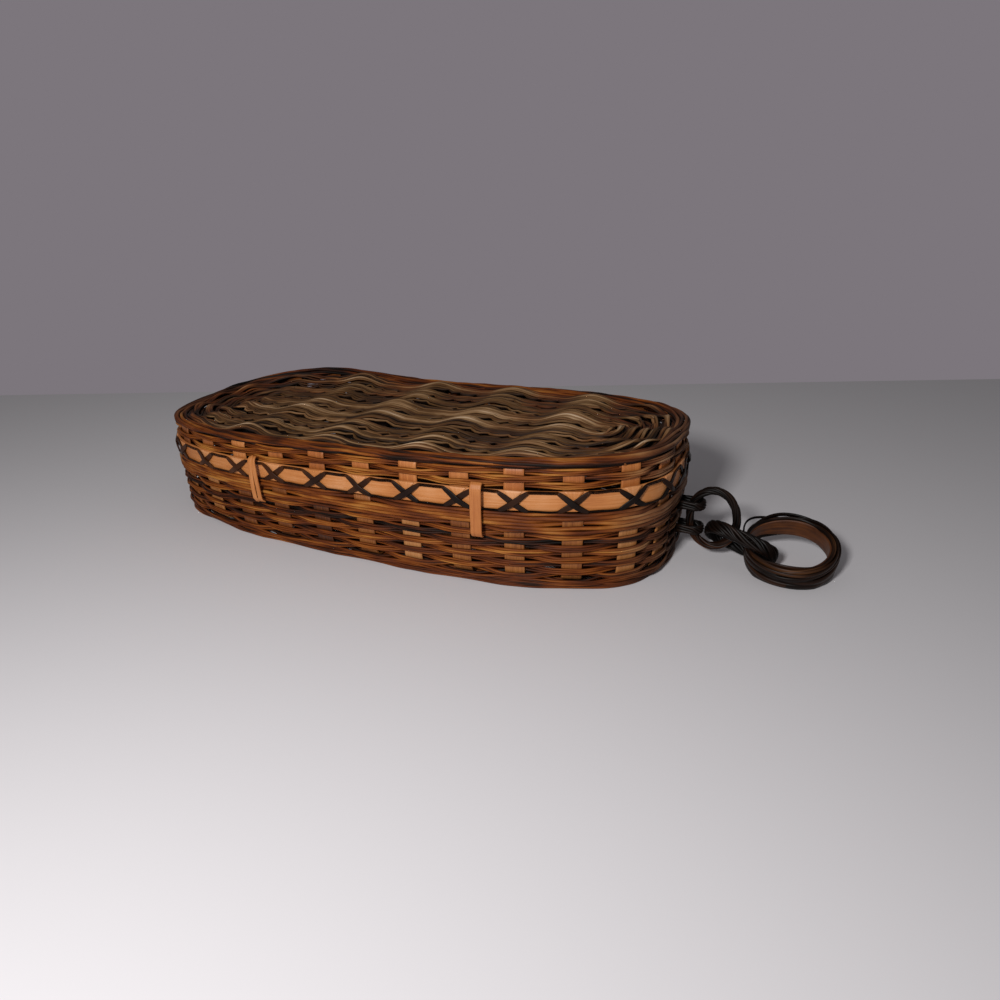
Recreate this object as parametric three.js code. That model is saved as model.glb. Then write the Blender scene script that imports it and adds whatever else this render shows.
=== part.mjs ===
// A small lidded basket of flat wood splints and fine strands, with a chain of three wound loops on one end.
// Millimetres, +Z up. The long side lies along X and the chain hangs on the +X end. The hinge side faces -Y.
// The origin is the middle of the underside.
import * as THREE from "three";

// Plan of the basket: a superellipse, measured to the outside of the wall.
const halfLength = 100;
const halfWidth = 46.4;
const roundness = 2.9; // exponent of the superellipse: 2 is an ellipse, and more is squarer

// How the hand-made shape departs from a level one.
const chainEndRise = 0.1; // the wall is this share taller at the chain end and lower at the plain end
const cornerLift = 5; // the lid's far corner at the plain end has warped up
const cornerAt = new THREE.Vector2(-66, 34);
const cornerReach = 34;

// Flat splints that stand as stakes, and where they stand.
const stakeWidth = 6.3;
const stakeThickness = 0.8;
const crossPitch = 17.4;
const crossShift = -2.4; // the stakes that run across sit a little toward the plain end
const crossEndRoom = 19; // least distance from the outermost of them to the end of the basket
const lengthwisePitch = 14;
const lengthwiseCount = 5;

// Clearances between neighbours.
const weaveGap = 0.15; // between a stake and the strands that pass it
const restGap = 0.3; // between pieces that lie on each other
const seatGap = 0.3; // between a strap or an ear and what it is tied to

// Body: base, wall and rim.
const matThickness = 1.2;
const matInset = 6.2;
const bodyInset = 2; // from the outside of the wall to the middle of a stake, at the rim
const bodyTaper = 1; // how much farther in the wall stands at its foot
const bodyCorner = 4; // radius of the stakes' bend from the base into the wall
const rimTop = 24.2;
const lateTurn = 4; // a stake that has to turn toward the base's middle does so late in its bend
const stakeTuck = 0.2; // how far the stakes end below the rim
const rowCount = 9;
const rowPitch = 1.97;
const rowHeight = 1.55;
const rowThickness = 1.2;
const waleCount = 3;
const walePitch = 1.65;
const waleHeight = 1.45;
const waleThickness = 1.5;
const baseClimb = 2; // run over which a lengthwise stake climbs onto the stakes that it crosses

// Lid: wall, top and edge.
const lidGap = 0.5; // between the rim and the lid
const lidInset = 2.6;
const bandHeight = 6.4;
const bandThickness = 0.9;
const lidRowCount = 3;
const lidRowPitch = 1.38;
const lidRowHeight = 1.2;
const lidShoulder = 36; // height at which the lid's stakes start to bend over
const lidCorner = 1.4;
const dishDepth = 2; // how far the top sinks inside the shoulder
const dishRun = 8.5;
const lidDive = 4.4; // run over which a lengthwise stake of the lid dives beneath the stakes that it crosses
const rollInset = 1.2;
const rollWidth = 4.4;
const rollHeight = 2;
const topInset = 5.9;
const topThickness = 1.3;
const topPitch = 9; // from one turn of the woven top to the next
const topGap = 0.7; // between its turns
const topHump = 2.1; // how much higher it passes over every second stake
const topSlack = 0.6; // how much less than the stakes the woven top sinks

// Lacing: two strands that cross over each stake on the band.
const laceWidth = 1.4;
const laceThickness = 0.5;

// Hinge straps on the side that faces -Y, each at its X.
const strapNearChainX = 47.7;
const strapNearPlainEndX = -36;
const strapWidth = 3.6;
const strapThickness = 0.8;
const strapFoot = 16.4;
const strapTop = 33.1;
const strapHook = 1.5;

// The chain on the +X end: two ears, a ring, a link and a hoop of several turns.
const chainY = 2;
const ringTube = 2.9;
const ringHalfWidth = 7.5;
const ringHalfHeight = 9.7;
const ringBeyond = 10; // from the basket's end to the ring's middle
const ringCentreZ = 14.7;
const upperEarHeight = 19;
const lowerEarHeight = 10.6;
const earWidth = 3;
const earThickness = 0.9;
const earRoom = 0.5;
const earReach = 1; // how far the ear's round end lies beyond the ring's strand
const earStart = -0.3; // from the outline to the ears' ends, where the wall's rows stand back
const linkLength = 25;
const linkBand = 4.8; // width of the band that the link is wound from
const linkThickness = 2.6;
const linkHole = 9; // width of the link's hole
const linkSlope = 18; // degrees down from the ring to the hoop
const linkLean = 50; // degrees that the link leans about its own length
const linkTakesRing = 9; // height at which the link's hole takes the ring
const linkNear = 8.9; // from the link's near end to there
const hoopRadius = 13.7; // to the middle of the splint
const hoopTurns = 3;
const hoopPitch = 1.6;
const hoopStripWidth = 1.15; // width of one turn
const hoopThickness = 1.5;
const hoopTilt = 16.4; // degrees that the hoop's far side is raised
const hoopBeyond = 1.6; // how far the hoop's middle lies from the link toward +Y
const hoopPast = 5.2; // from the ring's strand to the hoop's splint, along the link
const tableGap = 0.05;

const radians = Math.PI / 180;

// Outline: points of the superellipse, counter-clockwise from the middle of the -Y side, with distances.
const outlineSteps = 4000;
const outline = [];
for (let i = 0; i <= outlineSteps; i++) {
  const t = ((i / outlineSteps) * 2 - 0.5) * Math.PI;
  const c = Math.cos(t);
  const s = Math.sin(t);
  const x = halfLength * Math.sign(c) * Math.abs(c) ** (2 / roundness);
  const y = halfWidth * Math.sign(s) * Math.abs(s) ** (2 / roundness);
  const last = outline[i - 1];
  const along = last ? last.along + Math.hypot(x - last.x, y - last.y) : 0;
  outline.push({ x, y, along });
}
const perimeter = outline[outlineSteps].along;

function onOutline(along) {
  const s = ((along % perimeter) + perimeter) % perimeter;
  let low = 0;
  let high = outlineSteps;
  while (high - low > 1) {
    const middle = (low + high) >> 1;
    if (outline[middle].along <= s) low = middle;
    else high = middle;
  }
  const a = outline[low];
  const b = outline[high];
  const f = (s - a.along) / (b.along - a.along);
  return new THREE.Vector2(a.x + (b.x - a.x) * f, a.y + (b.y - a.y) * f);
}

// A flat spot of the wall as wide as a stake: its two ends, its middle, its tangent and its outward normal.
function flatSpot(along) {
  const from = onOutline(along - stakeWidth / 2);
  const to = onOutline(along + stakeWidth / 2);
  const tangent = to.clone().sub(from).normalize();
  const normal = new THREE.Vector2(tangent.y, -tangent.x);
  return { along, from, to, point: from.clone().lerp(to, 0.5), tangent, normal };
}

function alongAt(x, y) {
  let best = outline[0];
  for (const p of outline) {
    if (Math.hypot(p.x - x, p.y - y) < Math.hypot(best.x - x, best.y - y)) best = p;
  }
  return best.along;
}

const edgeShare = (share) => (1 - Math.abs(share) ** roundness) ** (1 / roundness);
const crossRoom = halfLength - Math.abs(crossShift) - crossEndRoom;
const crossCount = 1 + Math.floor((2 * crossRoom) / crossPitch);
const crossAt = Array.from(
  { length: crossCount },
  (_, i) => crossShift + (i - (crossCount - 1) / 2) * crossPitch,
);
const crossEnds = crossAt.map((x) => {
  const y = halfWidth * edgeShare(x / halfLength);
  return [flatSpot(alongAt(x, -y)), flatSpot(alongAt(x, y))];
});
const lengthwiseAt = Array.from(
  { length: lengthwiseCount },
  (_, i) => (i - (lengthwiseCount - 1) / 2) * lengthwisePitch,
);
const lengthwiseEnds = lengthwiseAt.map((y) => {
  const x = halfLength * edgeShare(y / halfWidth);
  return [flatSpot(alongAt(-x, y)), flatSpot(alongAt(x, y))];
});
const spots = [...crossEnds, ...lengthwiseEnds].flat().sort((a, b) => a.along - b.along);

// About how far a point lies inside the outline.
function depthInside(x, y) {
  const u = Math.abs(x) / halfLength;
  const v = Math.abs(y) / halfWidth;
  const sum = u ** roundness + v ** roundness;
  if (sum === 0) return halfWidth;
  const slope = Math.hypot(u ** (roundness - 1) / halfLength, v ** (roundness - 1) / halfWidth);
  const size = sum ** (1 / roundness);
  return (1 - size) / (sum ** (1 / roundness - 1) * slope);
}

const lidFoot = rimTop + lidGap;
const lidLevel = lidShoulder + lidCorner;
const rollFoot = lidLevel + stakeThickness / 2 + restGap;
const rollTop = rollFoot + rollHeight;
const dishFrom = lidInset + lidCorner;

const leanAt = (x) => 1 + (chainEndRise * x) / halfLength;
const leaned = (p) => new THREE.Vector3(p.x, p.y, p.z * leanAt(p.x));

function warped(p) {
  const q = leaned(p);
  const away = cornerAt.distanceTo(new THREE.Vector2(p.x, p.y)) / cornerReach;
  const climb = THREE.MathUtils.smoothstep(p.z, lidFoot, rollTop);
  const inside = (depthInside(p.x, p.y) - dishFrom) / dishRun;
  q.z += cornerLift * climb * Math.exp(-away * away) * THREE.MathUtils.clamp(1 - inside, 0, 1);
  return q;
}

// Wall of the body, u down from the rim: inset and height of a stake's middle, and its outward normal.
const baseLevel = matThickness + restGap + stakeThickness / 2;
const bodyWall = rimTop - baseLevel - bodyCorner;
function bodyProfile(u) {
  if (u <= bodyWall) {
    return { inset: bodyInset + (bodyTaper * u) / bodyWall, z: rimTop - u, out: 1, up: 0, bend: 0 };
  }
  const turn = (u - bodyWall) / bodyCorner;
  return {
    inset: bodyInset + bodyTaper + bodyCorner * (1 - Math.cos(turn)),
    z: baseLevel + bodyCorner * (1 - Math.sin(turn)),
    out: Math.cos(turn),
    up: -Math.sin(turn),
    bend: bodyCorner,
  };
}

// Wall of the lid, u up from its lower edge.
const lidWall = lidShoulder - lidFoot;
function lidProfile(u) {
  if (u <= lidWall) return { inset: lidInset, z: lidFoot + u, out: 1, up: 0, bend: 0 };
  const turn = (u - lidWall) / lidCorner;
  return {
    inset: lidInset + lidCorner * (1 - Math.cos(turn)),
    z: lidShoulder + lidCorner * Math.sin(turn),
    out: Math.cos(turn),
    up: Math.sin(turn),
    bend: lidCorner,
  };
}

// One closed surface through rings of points. Each ring runs counter-clockwise about the way the path goes.
function skin(rings, closed) {
  const sides = rings[0].length;
  const count = rings.length;
  const positions = rings.flat().flatMap((p) => [p.x, p.y, p.z]);
  const index = [];
  const spans = closed ? count : count - 1;
  for (let i = 0; i < spans; i++) {
    const a = i * sides;
    const b = ((i + 1) % count) * sides;
    for (let j = 0; j < sides; j++) {
      const k = (j + 1) % sides;
      index.push(a + j, a + k, b + k, a + j, b + k, b + j);
    }
  }
  if (!closed) {
    const end = (count - 1) * sides;
    for (let j = 1; j < sides - 1; j++) {
      index.push(0, j + 1, j);
      index.push(end, end + j, end + j + 1);
    }
  }
  const geometry = new THREE.BufferGeometry();
  geometry.setAttribute("position", new THREE.Float32BufferAttribute(positions, 3));
  geometry.setIndex(index);
  geometry.computeVertexNormals();
  return geometry;
}

// A rectangle round a point. Across and out are unit directions, and the path goes along across x out.
function slat(centre, across, out, width, thickness) {
  const w = across.clone().multiplyScalar(width / 2);
  const t = out.clone().multiplyScalar(thickness / 2);
  return [
    centre.clone().sub(w).sub(t),
    centre.clone().add(w).sub(t),
    centre.clone().add(w).add(t),
    centre.clone().sub(w).add(t),
  ];
}

// A round strand's section: an ellipse with the given number of sides.
function round(centre, across, out, width, thickness, sides) {
  return Array.from({ length: sides }, (_, i) => {
    const t = ((i + 0.5) / sides) * 2 * Math.PI;
    return centre
      .clone()
      .addScaledVector(across, (Math.cos(t) * width) / 2)
      .addScaledVector(out, (Math.sin(t) * thickness) / 2);
  });
}

const basket = new THREE.Group();
function add(name, geometry, colour, roughness) {
  const material = new THREE.MeshStandardMaterial({ color: colour, roughness, metalness: 0 });
  const mesh = new THREE.Mesh(geometry, material);
  mesh.name = name;
  basket.add(mesh);
}
const finish = {
  splint: [0xb5824f, 0.6],
  weaver: [0x8a5226, 0.65],
  bleached: [0x766751, 0.8],
  dark: [0x33261f, 0.5],
};

// The point at an inset from a place on the outline.
function inward(point, normal, inset, z) {
  return new THREE.Vector3(point.x - normal.x * inset, point.y - normal.y * inset, z);
}

// A ring of strands that goes round through all stakes. side(i) is 1 where it passes stake i outside and
// -1 where it passes inside.
function rowGeometry(at, side, thickness, height, settle) {
  const reach = stakeThickness / 2 + weaveGap + thickness / 2;
  const bendRoom = at.bend > 0 ? weaveGap : 0;
  const edgeRoom = at.bend > 0 ? height ** 2 / (8 * (at.bend - reach)) : 0; // for its edges inside a bend
  const rings = spots.flatMap(({ from, to, normal }, i) => {
    const offset = side(i) > 0 ? reach + bendRoom : -reach - bendRoom - edgeRoom;
    const out = new THREE.Vector3(normal.x * at.out, normal.y * at.out, at.up);
    const rise = new THREE.Vector3(-normal.x * at.up, -normal.y * at.up, at.out);
    return [from, to].map((point) => {
      const middle = inward(point, normal, at.inset - offset * at.out, at.z + offset * at.up);
      return slat(middle, rise, out, height, thickness).map(settle);
    });
  });
  return skin(rings, true);
}

// A ring whose section is a list of [inset, z], from the inner low corner up and round.
function girdleGeometry(section, settle) {
  const rings = spots.flatMap(({ from, to, normal }) =>
    [from, to].map((point) => section.map(([inset, z]) => settle(inward(point, normal, inset, z)))),
  );
  return skin(rings, true);
}

// A plate through levels of [inset, z] on its top and on its underside, closed by a point in the middle.
function plateGeometry(under, top, settle) {
  const level = (inset, z) =>
    spots.flatMap(({ from, to, normal }) =>
      [from, to].map((point) => settle(inward(point, normal, inset, z))),
    );
  const levels = [...under.toReversed(), ...top].map(([inset, z]) => level(inset, z));
  const points = levels.flat();
  const count = levels[0].length;
  const index = [];
  for (let i = 0; i + 1 < levels.length; i++) {
    for (let j = 0; j < count; j++) {
      const a = i * count + j;
      const b = i * count + ((j + 1) % count);
      index.push(a, b, b + count, a, b + count, a + count);
    }
  }
  const low = points.push(settle(new THREE.Vector3(0, 0, under.at(-1)[1]))) - 1;
  const high = points.push(settle(new THREE.Vector3(0, 0, top.at(-1)[1]))) - 1;
  const last = (levels.length - 1) * count;
  for (let j = 0; j < count; j++) {
    const k = (j + 1) % count;
    index.push(low, k, j);
    index.push(high, last + j, last + k);
  }
  const geometry = new THREE.BufferGeometry();
  const positions = points.flatMap((p) => [p.x, p.y, p.z]);
  geometry.setAttribute("position", new THREE.Float32BufferAttribute(positions, 3));
  geometry.setIndex(index);
  geometry.computeVertexNormals();
  return geometry;
}

// A splint that runs down one wall, across and up the other (or the other way up, for the lid). Stops are
// distances along the profile up to the end of its bend. Inland lists [run, shift]: how far beyond the bend
// the splint's height has changed by how much.
function stakeGeometry(ends, lengthwise, profile, stops, bendFrom, inland, settle) {
  const level = lengthwise ? new THREE.Vector3(0, -1, 0) : new THREE.Vector3(1, 0, 0);
  const travel = lengthwise ? new THREE.Vector3(1, 0, 0) : new THREE.Vector3(0, 1, 0);
  const bendTo = stops.at(-1);
  const legs = ends.map(({ point, tangent, normal }, end) => {
    const way = end === 0 ? 1 : -1;
    const rings = stops.map((u) => {
      const at = profile(u);
      const turned = THREE.MathUtils.clamp((u - bendFrom) / (bendTo - bendFrom), 0, 1) ** lateTurn;
      const across = new THREE.Vector3(tangent.x * way, tangent.y * way, 0).lerp(level, turned);
      const out = new THREE.Vector3(normal.x * at.out, normal.y * at.out, at.up);
      return slat(
        inward(point, normal, at.inset, at.z),
        across.normalize(),
        out,
        stakeWidth,
        stakeThickness,
      );
    });
    const at = profile(bendTo);
    const slant = Math.abs(normal.x * travel.x + normal.y * travel.y);
    const flat = new THREE.Vector3(0, 0, at.up);
    const inner = inland.map(([run, shift]) => {
      const middle = inward(point, normal, at.inset, at.z + shift);
      middle.addScaledVector(travel, (way * run) / slant);
      return slat(middle, level, flat, stakeWidth, stakeThickness);
    });
    return [...rings, ...inner];
  });
  return skin(
    [...legs[0], ...legs[1].reverse()].map((ring) => ring.map(settle)),
    false,
  );
}

// Base and body.
add("base_mat", plateGeometry([[matInset, 0]], [[matInset, matThickness]], leaned), ...finish.weaver);

const bodyBendEnd = bodyWall + (bodyCorner * Math.PI) / 2;
const thirds = [1 / 3, 2 / 3, 1];
const bodyStops = [stakeTuck, bodyWall, ...thirds.map((f) => bodyWall + f * (bodyBendEnd - bodyWall))];
const stakeStep = stakeThickness + restGap;
const climb = [[baseClimb, stakeStep]];
crossEnds.forEach((ends, i) => {
  const shape = stakeGeometry(ends, false, bodyProfile, bodyStops, bodyWall, [], leaned);
  add(`body_cross_stake_${i + 1}`, shape, ...finish.splint);
});
lengthwiseEnds.forEach((ends, i) => {
  const shape = stakeGeometry(ends, true, bodyProfile, bodyStops, bodyWall, climb, leaned);
  add(`body_long_stake_${i + 1}`, shape, ...finish.splint);
});

const overUnder = (row) => (i) => ((i + row) % 2 === 0 ? 1 : -1);
const waled = (row) => (i) => ((i + row) % 3 === 0 ? -1 : 1); // in front of two stakes and behind one
const rimHeight = stakeTuck + waleCount * walePitch;
for (let row = 0; row < rowCount; row++) {
  const at = bodyProfile(rimHeight + (row + 0.5) * rowPitch);
  const shape = rowGeometry(at, overUnder(row), rowThickness, rowHeight, leaned);
  add(`body_row_${rowCount - row}`, shape, ...finish.weaver);
}
for (let row = 0; row < waleCount; row++) {
  const at = bodyProfile(stakeTuck + (row + 0.5) * walePitch);
  const shape = rowGeometry(at, waled(row), waleThickness, waleHeight, leaned);
  add(`body_rim_row_${waleCount - row}`, shape, ...finish.weaver);
}

// Lid.
const lidBendEnd = lidWall + (lidCorner * Math.PI) / 2;
const lidStops = [stakeTuck, lidWall, ...thirds.map((f) => lidWall + f * (lidBendEnd - lidWall))];
const dishStops = thirds.map((f) => f * dishRun);
const sink = dishStops.map((run) => [run, (-dishDepth * run) / dishRun]);
const dive = [lidDive, dishRun, 1.5 * dishRun, 2 * dishRun].map((run) => [run, -dishDepth - stakeStep]);
crossEnds.forEach((ends, i) => {
  const shape = stakeGeometry(ends, false, lidProfile, lidStops, lidWall, sink, warped);
  add(`lid_cross_stake_${i + 1}`, lidOutwards(shape), ...finish.splint);
});
lengthwiseEnds.forEach((ends, i) => {
  const shape = stakeGeometry(ends, true, lidProfile, lidStops, lidWall, dive, warped);
  add(`lid_long_stake_${i + 1}`, lidOutwards(shape), ...finish.splint);
});

// The lid's stakes run up first, so their rings turn the other way round and the faces are swapped.
function lidOutwards(geometry) {
  const index = geometry.getIndex();
  for (let i = 0; i < index.count; i += 3) {
    const a = index.getX(i);
    index.setX(i, index.getX(i + 1));
    index.setX(i + 1, a);
  }
  geometry.computeVertexNormals();
  return geometry;
}

const bandInset = lidInset - stakeThickness / 2 - restGap - bandThickness;
const bandTop = lidFoot + bandHeight;
const bandSection = [
  [bandInset + bandThickness, lidFoot],
  [bandInset + bandThickness, bandTop],
  [bandInset, bandTop],
  [bandInset, lidFoot],
];
add("lid_band", girdleGeometry(bandSection, warped), ...finish.splint);

for (let row = 0; row < lidRowCount; row++) {
  const height = bandHeight + restGap + lidRowHeight / 2 + row * lidRowPitch;
  const shape = rowGeometry(lidProfile(height), overUnder(row), rowThickness, lidRowHeight, warped);
  add(`lid_row_${row + 1}`, shape, ...finish.weaver);
}

const rollSection = [
  [rollInset + rollWidth, rollFoot + rollHeight * 0.3],
  [rollInset + rollWidth * 0.78, rollTop],
  [rollInset + rollWidth * 0.25, rollTop],
  [rollInset, rollFoot + rollHeight * 0.35],
  [rollInset + rollWidth * 0.2, rollFoot],
  [rollInset + rollWidth * 0.85, rollFoot],
];
add("lid_edge_roll", girdleGeometry(rollSection, warped), ...finish.weaver);

// The woven top is one band of strands, wound in turns from the edge to the middle. It lies on the stakes,
// sinks with them and humps over every second one.
const topFoot = (inset) => {
  const sunk = THREE.MathUtils.clamp((inset - dishFrom) / dishRun, 0, 1);
  return rollFoot - (dishDepth - topSlack) * sunk;
};
const topTurns = Math.round((halfWidth - topInset) / topPitch - 0.5);
const crossRuns = crossEnds.map(([{ point, normal }]) => point.x - normal.x * dishFrom);
const sideReach = 0.86; // share of a turn's half length up to which its long sides take stakes
const endReach = 0.6; // the same for its ends, of its half width
const edgeReach = 0.9;

// Angles of the superellipse at a height y on its +X end, and at an x on its +Y side.
const angleAtY = (y, half) =>
  Math.asin(Math.sign(y) * Math.min(Math.abs(y) / half, endReach) ** (roundness / 2));
const angleAtX = (x, half) =>
  Math.acos(Math.sign(x) * Math.min(Math.abs(x) / half, edgeReach) ** (roundness / 2));

// One turn: the angles of its outer and inner edge at both sides of each stake, and its hump there. It starts
// and ends in the middle of the +Y side.
function turnStations(outer, inner) {
  const sides = [outer, inner];
  const reachX = sideReach * (halfLength - outer);
  const reachY = endReach * (halfWidth - outer);
  const kept = (at, reach) =>
    at
      .map((middle, i) => ({ i, from: middle - stakeWidth / 2, to: middle + stakeWidth / 2 }))
      .filter(({ from, to }) => Math.max(-from, to) <= reach);
  const hump = (i) => (i % 2 === 0 ? topHump : 0);
  const cross = kept(crossRuns, reachX).flatMap(({ i, from, to }) => [from, to].map((x) => [x, hump(i)]));
  const long = kept(lengthwiseAt, reachY).flatMap(({ i, from, to }) => [from, to].map((y) => [y, hump(i)]));
  const middle = crossRuns[Math.floor(crossCount / 2)] - crossPitch / 2;
  const onSide = (turnAngle) => ([x, rise]) => ({
    angles: sides.map((inset) => turnAngle(angleAtX(x, halfLength - inset))),
    rise,
  });
  const onEnd = (turnAngle) => ([y, rise]) => ({
    angles: sides.map((inset) => turnAngle(angleAtY(y, halfWidth - inset))),
    rise,
  });
  const full = 2 * Math.PI;
  const groups = [
    cross.filter(([x]) => x < middle).toReversed().map(onSide((t) => t)),
    long.toReversed().map(onEnd((t) => Math.PI - t)),
    cross.map(onSide((t) => full - t)),
    long.map(onEnd((t) => full + t)),
    cross.filter(([x]) => x > middle).toReversed().map(onSide((t) => full + t)),
  ];
  return groups.reduce((all, group) => {
    const corner = [1 / 3, 2 / 3].map((f) => ({
      angles: sides.map((_, k) => THREE.MathUtils.lerp(all.at(-1).angles[k], group[0].angles[k], f)),
      rise: 0,
    }));
    return [...all, ...corner, ...group];
  });
}

const topRings = Array.from({ length: topTurns }, (_, turn) => {
  const outer = topInset + turn * topPitch;
  const inner = turn === topTurns - 1 ? halfWidth - topGap / 2 : outer + topPitch - topGap;
  const edge = (inset, angle, rise) => {
    const x = (halfLength - inset) * Math.sign(Math.cos(angle)) * Math.abs(Math.cos(angle)) ** (2 / roundness);
    const y = (halfWidth - inset) * Math.sign(Math.sin(angle)) * Math.abs(Math.sin(angle)) ** (2 / roundness);
    return new THREE.Vector3(x, y, topFoot(inset) + rise);
  };
  return turnStations(outer, inner).map(({ angles, rise }) =>
    [
      edge(outer, angles[0], rise),
      edge(inner, angles[1], rise),
      edge(inner, angles[1], rise + topThickness),
      edge(outer, angles[0], rise + topThickness),
    ].map(warped),
  );
});
add("lid_top_mat", skin(topRings.flat(), false), ...finish.bleached);

// Lacing: strand b lies over strand a. Each crosses the band at a stake and runs along its edge to the next.
const laceLayers = { lacing_a: 0, lacing_b: 1 };
Object.entries(laceLayers).forEach(([name, layer]) => {
  const inset = bandInset - restGap - laceThickness / 2 - layer * (laceThickness + restGap);
  const heights = [lidFoot + laceWidth / 2, bandTop - laceWidth / 2];
  const rings = spots.flatMap(({ from, to, normal }, i) => {
    const out = new THREE.Vector3(normal.x, normal.y, 0);
    const start = (i + layer) % 2;
    return [from, to].map((point, end) => {
      const middle = inward(point, normal, inset, heights[(start + end) % 2]);
      const upright = new THREE.Vector3(0, 0, 1);
      return slat(middle, upright, out, laceWidth, laceThickness).map(warped);
    });
  });
  add(name, skin(rings, true), ...finish.dark);
});

// Hinge straps: a splint over the band and the rim, hooked in at both ends.
const strapAt = { strap_near_chain: strapNearChainX, strap_near_plain_end: strapNearPlainEndX };
const strapStand = bandInset - 2 * (restGap + laceThickness) - seatGap - strapThickness / 2;
Object.entries(strapAt).forEach(([name, x]) => {
  const { point, tangent, normal } = flatSpot(alongAt(x, -halfWidth * edgeShare(x / halfLength)));
  const across = new THREE.Vector3(tangent.x, tangent.y, 0);
  const out = new THREE.Vector3(normal.x, normal.y, 0);
  const stops = [
    { inset: strapStand + strapHook, z: strapTop, slope: 0.7 },
    { inset: strapStand, z: strapTop - strapHook, slope: 0.3 },
    { inset: strapStand, z: strapFoot + strapHook, slope: -0.3 },
    { inset: strapStand + strapHook, z: strapFoot, slope: -0.7 },
  ];
  const rings = stops.map(({ inset, z, slope }) => {
    const facing = out.clone().setZ(slope).normalize();
    return slat(inward(point, normal, inset, z), across, facing, strapWidth, strapThickness).map(leaned);
  });
  add(name, skin(rings, false), ...finish.splint);
});

// Chain: the ring stands upright through two ears.
const forward = new THREE.Vector3(0, 1, 0);
const ringCentreX = halfLength + ringBeyond;
function ringAt(angle) {
  const x = ringCentreX + ringHalfWidth * Math.cos(angle);
  const z = ringCentreZ + ringHalfHeight * Math.sin(angle);
  const out = new THREE.Vector3(Math.cos(angle) / ringHalfWidth, 0, Math.sin(angle) / ringHalfHeight);
  return { centre: new THREE.Vector3(x, chainY, z), out: out.normalize() };
}
const ringSteps = 24;
const ringRings = Array.from({ length: ringSteps }, (_, i) => {
  const { centre, out } = ringAt((-i / ringSteps) * 2 * Math.PI);
  return round(centre, forward, out, ringTube, ringTube, 6).reverse();
});
add("ring", skin(ringRings.reverse(), true), ...finish.dark);

// Each ear is a strip that comes out of the wall, goes round the ring's strand and goes back in.
const earHalf = ringTube / 2 + earRoom + earThickness / 2;
const wallFace = halfLength + earStart;
const earHeights = { ear_upper: upperEarHeight, ear_lower: lowerEarHeight };
Object.entries(earHeights).forEach(([name, z]) => {
  const turn = Math.asin((z - ringCentreZ) / ringHalfHeight);
  const strandX = ringCentreX - ringHalfWidth * Math.cos(turn);
  const middle = strandX + earReach;
  const path = [[wallFace, -earHalf, 0]];
  const earSteps = 6;
  for (let i = 0; i <= earSteps; i++) {
    const t = (i / earSteps - 0.5) * Math.PI;
    path.push([middle + earHalf * Math.cos(t), earHalf * Math.sin(t), t + Math.PI / 2]);
  }
  path.push([wallFace, earHalf, Math.PI]);
  const rings = path.map(([x, y, heading]) => {
    const out = new THREE.Vector3(Math.sin(heading), -Math.cos(heading), 0);
    return slat(new THREE.Vector3(x, chainY + y, z), new THREE.Vector3(0, 0, 1), out, earWidth, earThickness);
  });
  add(name, skin(rings, false), ...finish.dark);
});

// The link is a long loop whose hole takes the ring's strand and the hoop's splint.
const takesAngle = Math.asin((linkTakesRing - ringCentreZ) / ringHalfHeight);
const takesRing = ringAt(takesAngle).centre;
const slope = linkSlope * radians;
const lean = linkLean * radians;
const linkWay = new THREE.Vector3(Math.cos(slope), 0, -Math.sin(slope));
const linkUp = linkWay.clone().cross(forward);
const linkSide = forward.clone().multiplyScalar(Math.sin(lean)).addScaledVector(linkUp, -Math.cos(lean));
const linkNormal = linkWay.clone().cross(linkSide);
const linkCentre = takesRing.clone().addScaledVector(linkWay, linkLength / 2 - linkNear);
const linkBow = (linkHole + linkThickness) / 2;
const linkStraight = (linkLength - linkThickness) / 2 - linkBow;
const bowSteps = 9;
const linkRings = [1, -1].flatMap((end) =>
  Array.from({ length: bowSteps }, (_, i) => {
    const turn = (i / (bowSteps - 1) - 0.5) * Math.PI + (end > 0 ? 0 : Math.PI);
    const out = linkWay
      .clone()
      .multiplyScalar(Math.cos(turn))
      .addScaledVector(linkSide, Math.sin(turn));
    const centre = linkCentre
      .clone()
      .addScaledVector(linkWay, end * linkStraight)
      .addScaledVector(out, linkBow);
    return round(centre, linkNormal, out, linkBand, linkThickness, 8);
  }),
);
add("link", skin(linkRings, true), ...finish.dark);

// The hoop is one splint wound in several turns. It leans on the link and stands on its near edge.
const hoopHeight = hoopTurns * hoopPitch + hoopStripWidth;
const tilt = hoopTilt * radians;
const hoopBack = new THREE.Vector3(0, Math.cos(tilt), Math.sin(tilt));
const hoopAxis = new THREE.Vector3(0, -Math.sin(tilt), Math.cos(tilt));
const hoopMeets = takesRing.clone().addScaledVector(linkWay, hoopPast);
const hoopAcross = Math.sqrt(hoopRadius ** 2 - hoopBeyond ** 2);
const hoopRise =
  (hoopRadius + hoopThickness / 2) * Math.sin(tilt) + (hoopHeight / 2) * Math.cos(tilt) + tableGap;
const hoopCentre = new THREE.Vector3(hoopMeets.x + hoopAcross, chainY + hoopBeyond, hoopRise);
const stepsPerTurn = 24;
const hoopRings = Array.from({ length: hoopTurns * stepsPerTurn + 1 }, (_, i) => {
  const t = (i / stepsPerTurn - 0.25) * 2 * Math.PI; // the winding starts at the near side, low down
  const out = new THREE.Vector3(Math.cos(t), 0, 0).addScaledVector(hoopBack, Math.sin(t));
  const climb = (i / stepsPerTurn - hoopTurns / 2) * hoopPitch;
  const centre = hoopCentre.clone().addScaledVector(out, hoopRadius).addScaledVector(hoopAxis, climb);
  return round(centre, hoopAxis, out, hoopStripWidth, hoopThickness, 6);
});
add("hoop", skin(hoopRings, false), ...finish.dark);

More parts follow.
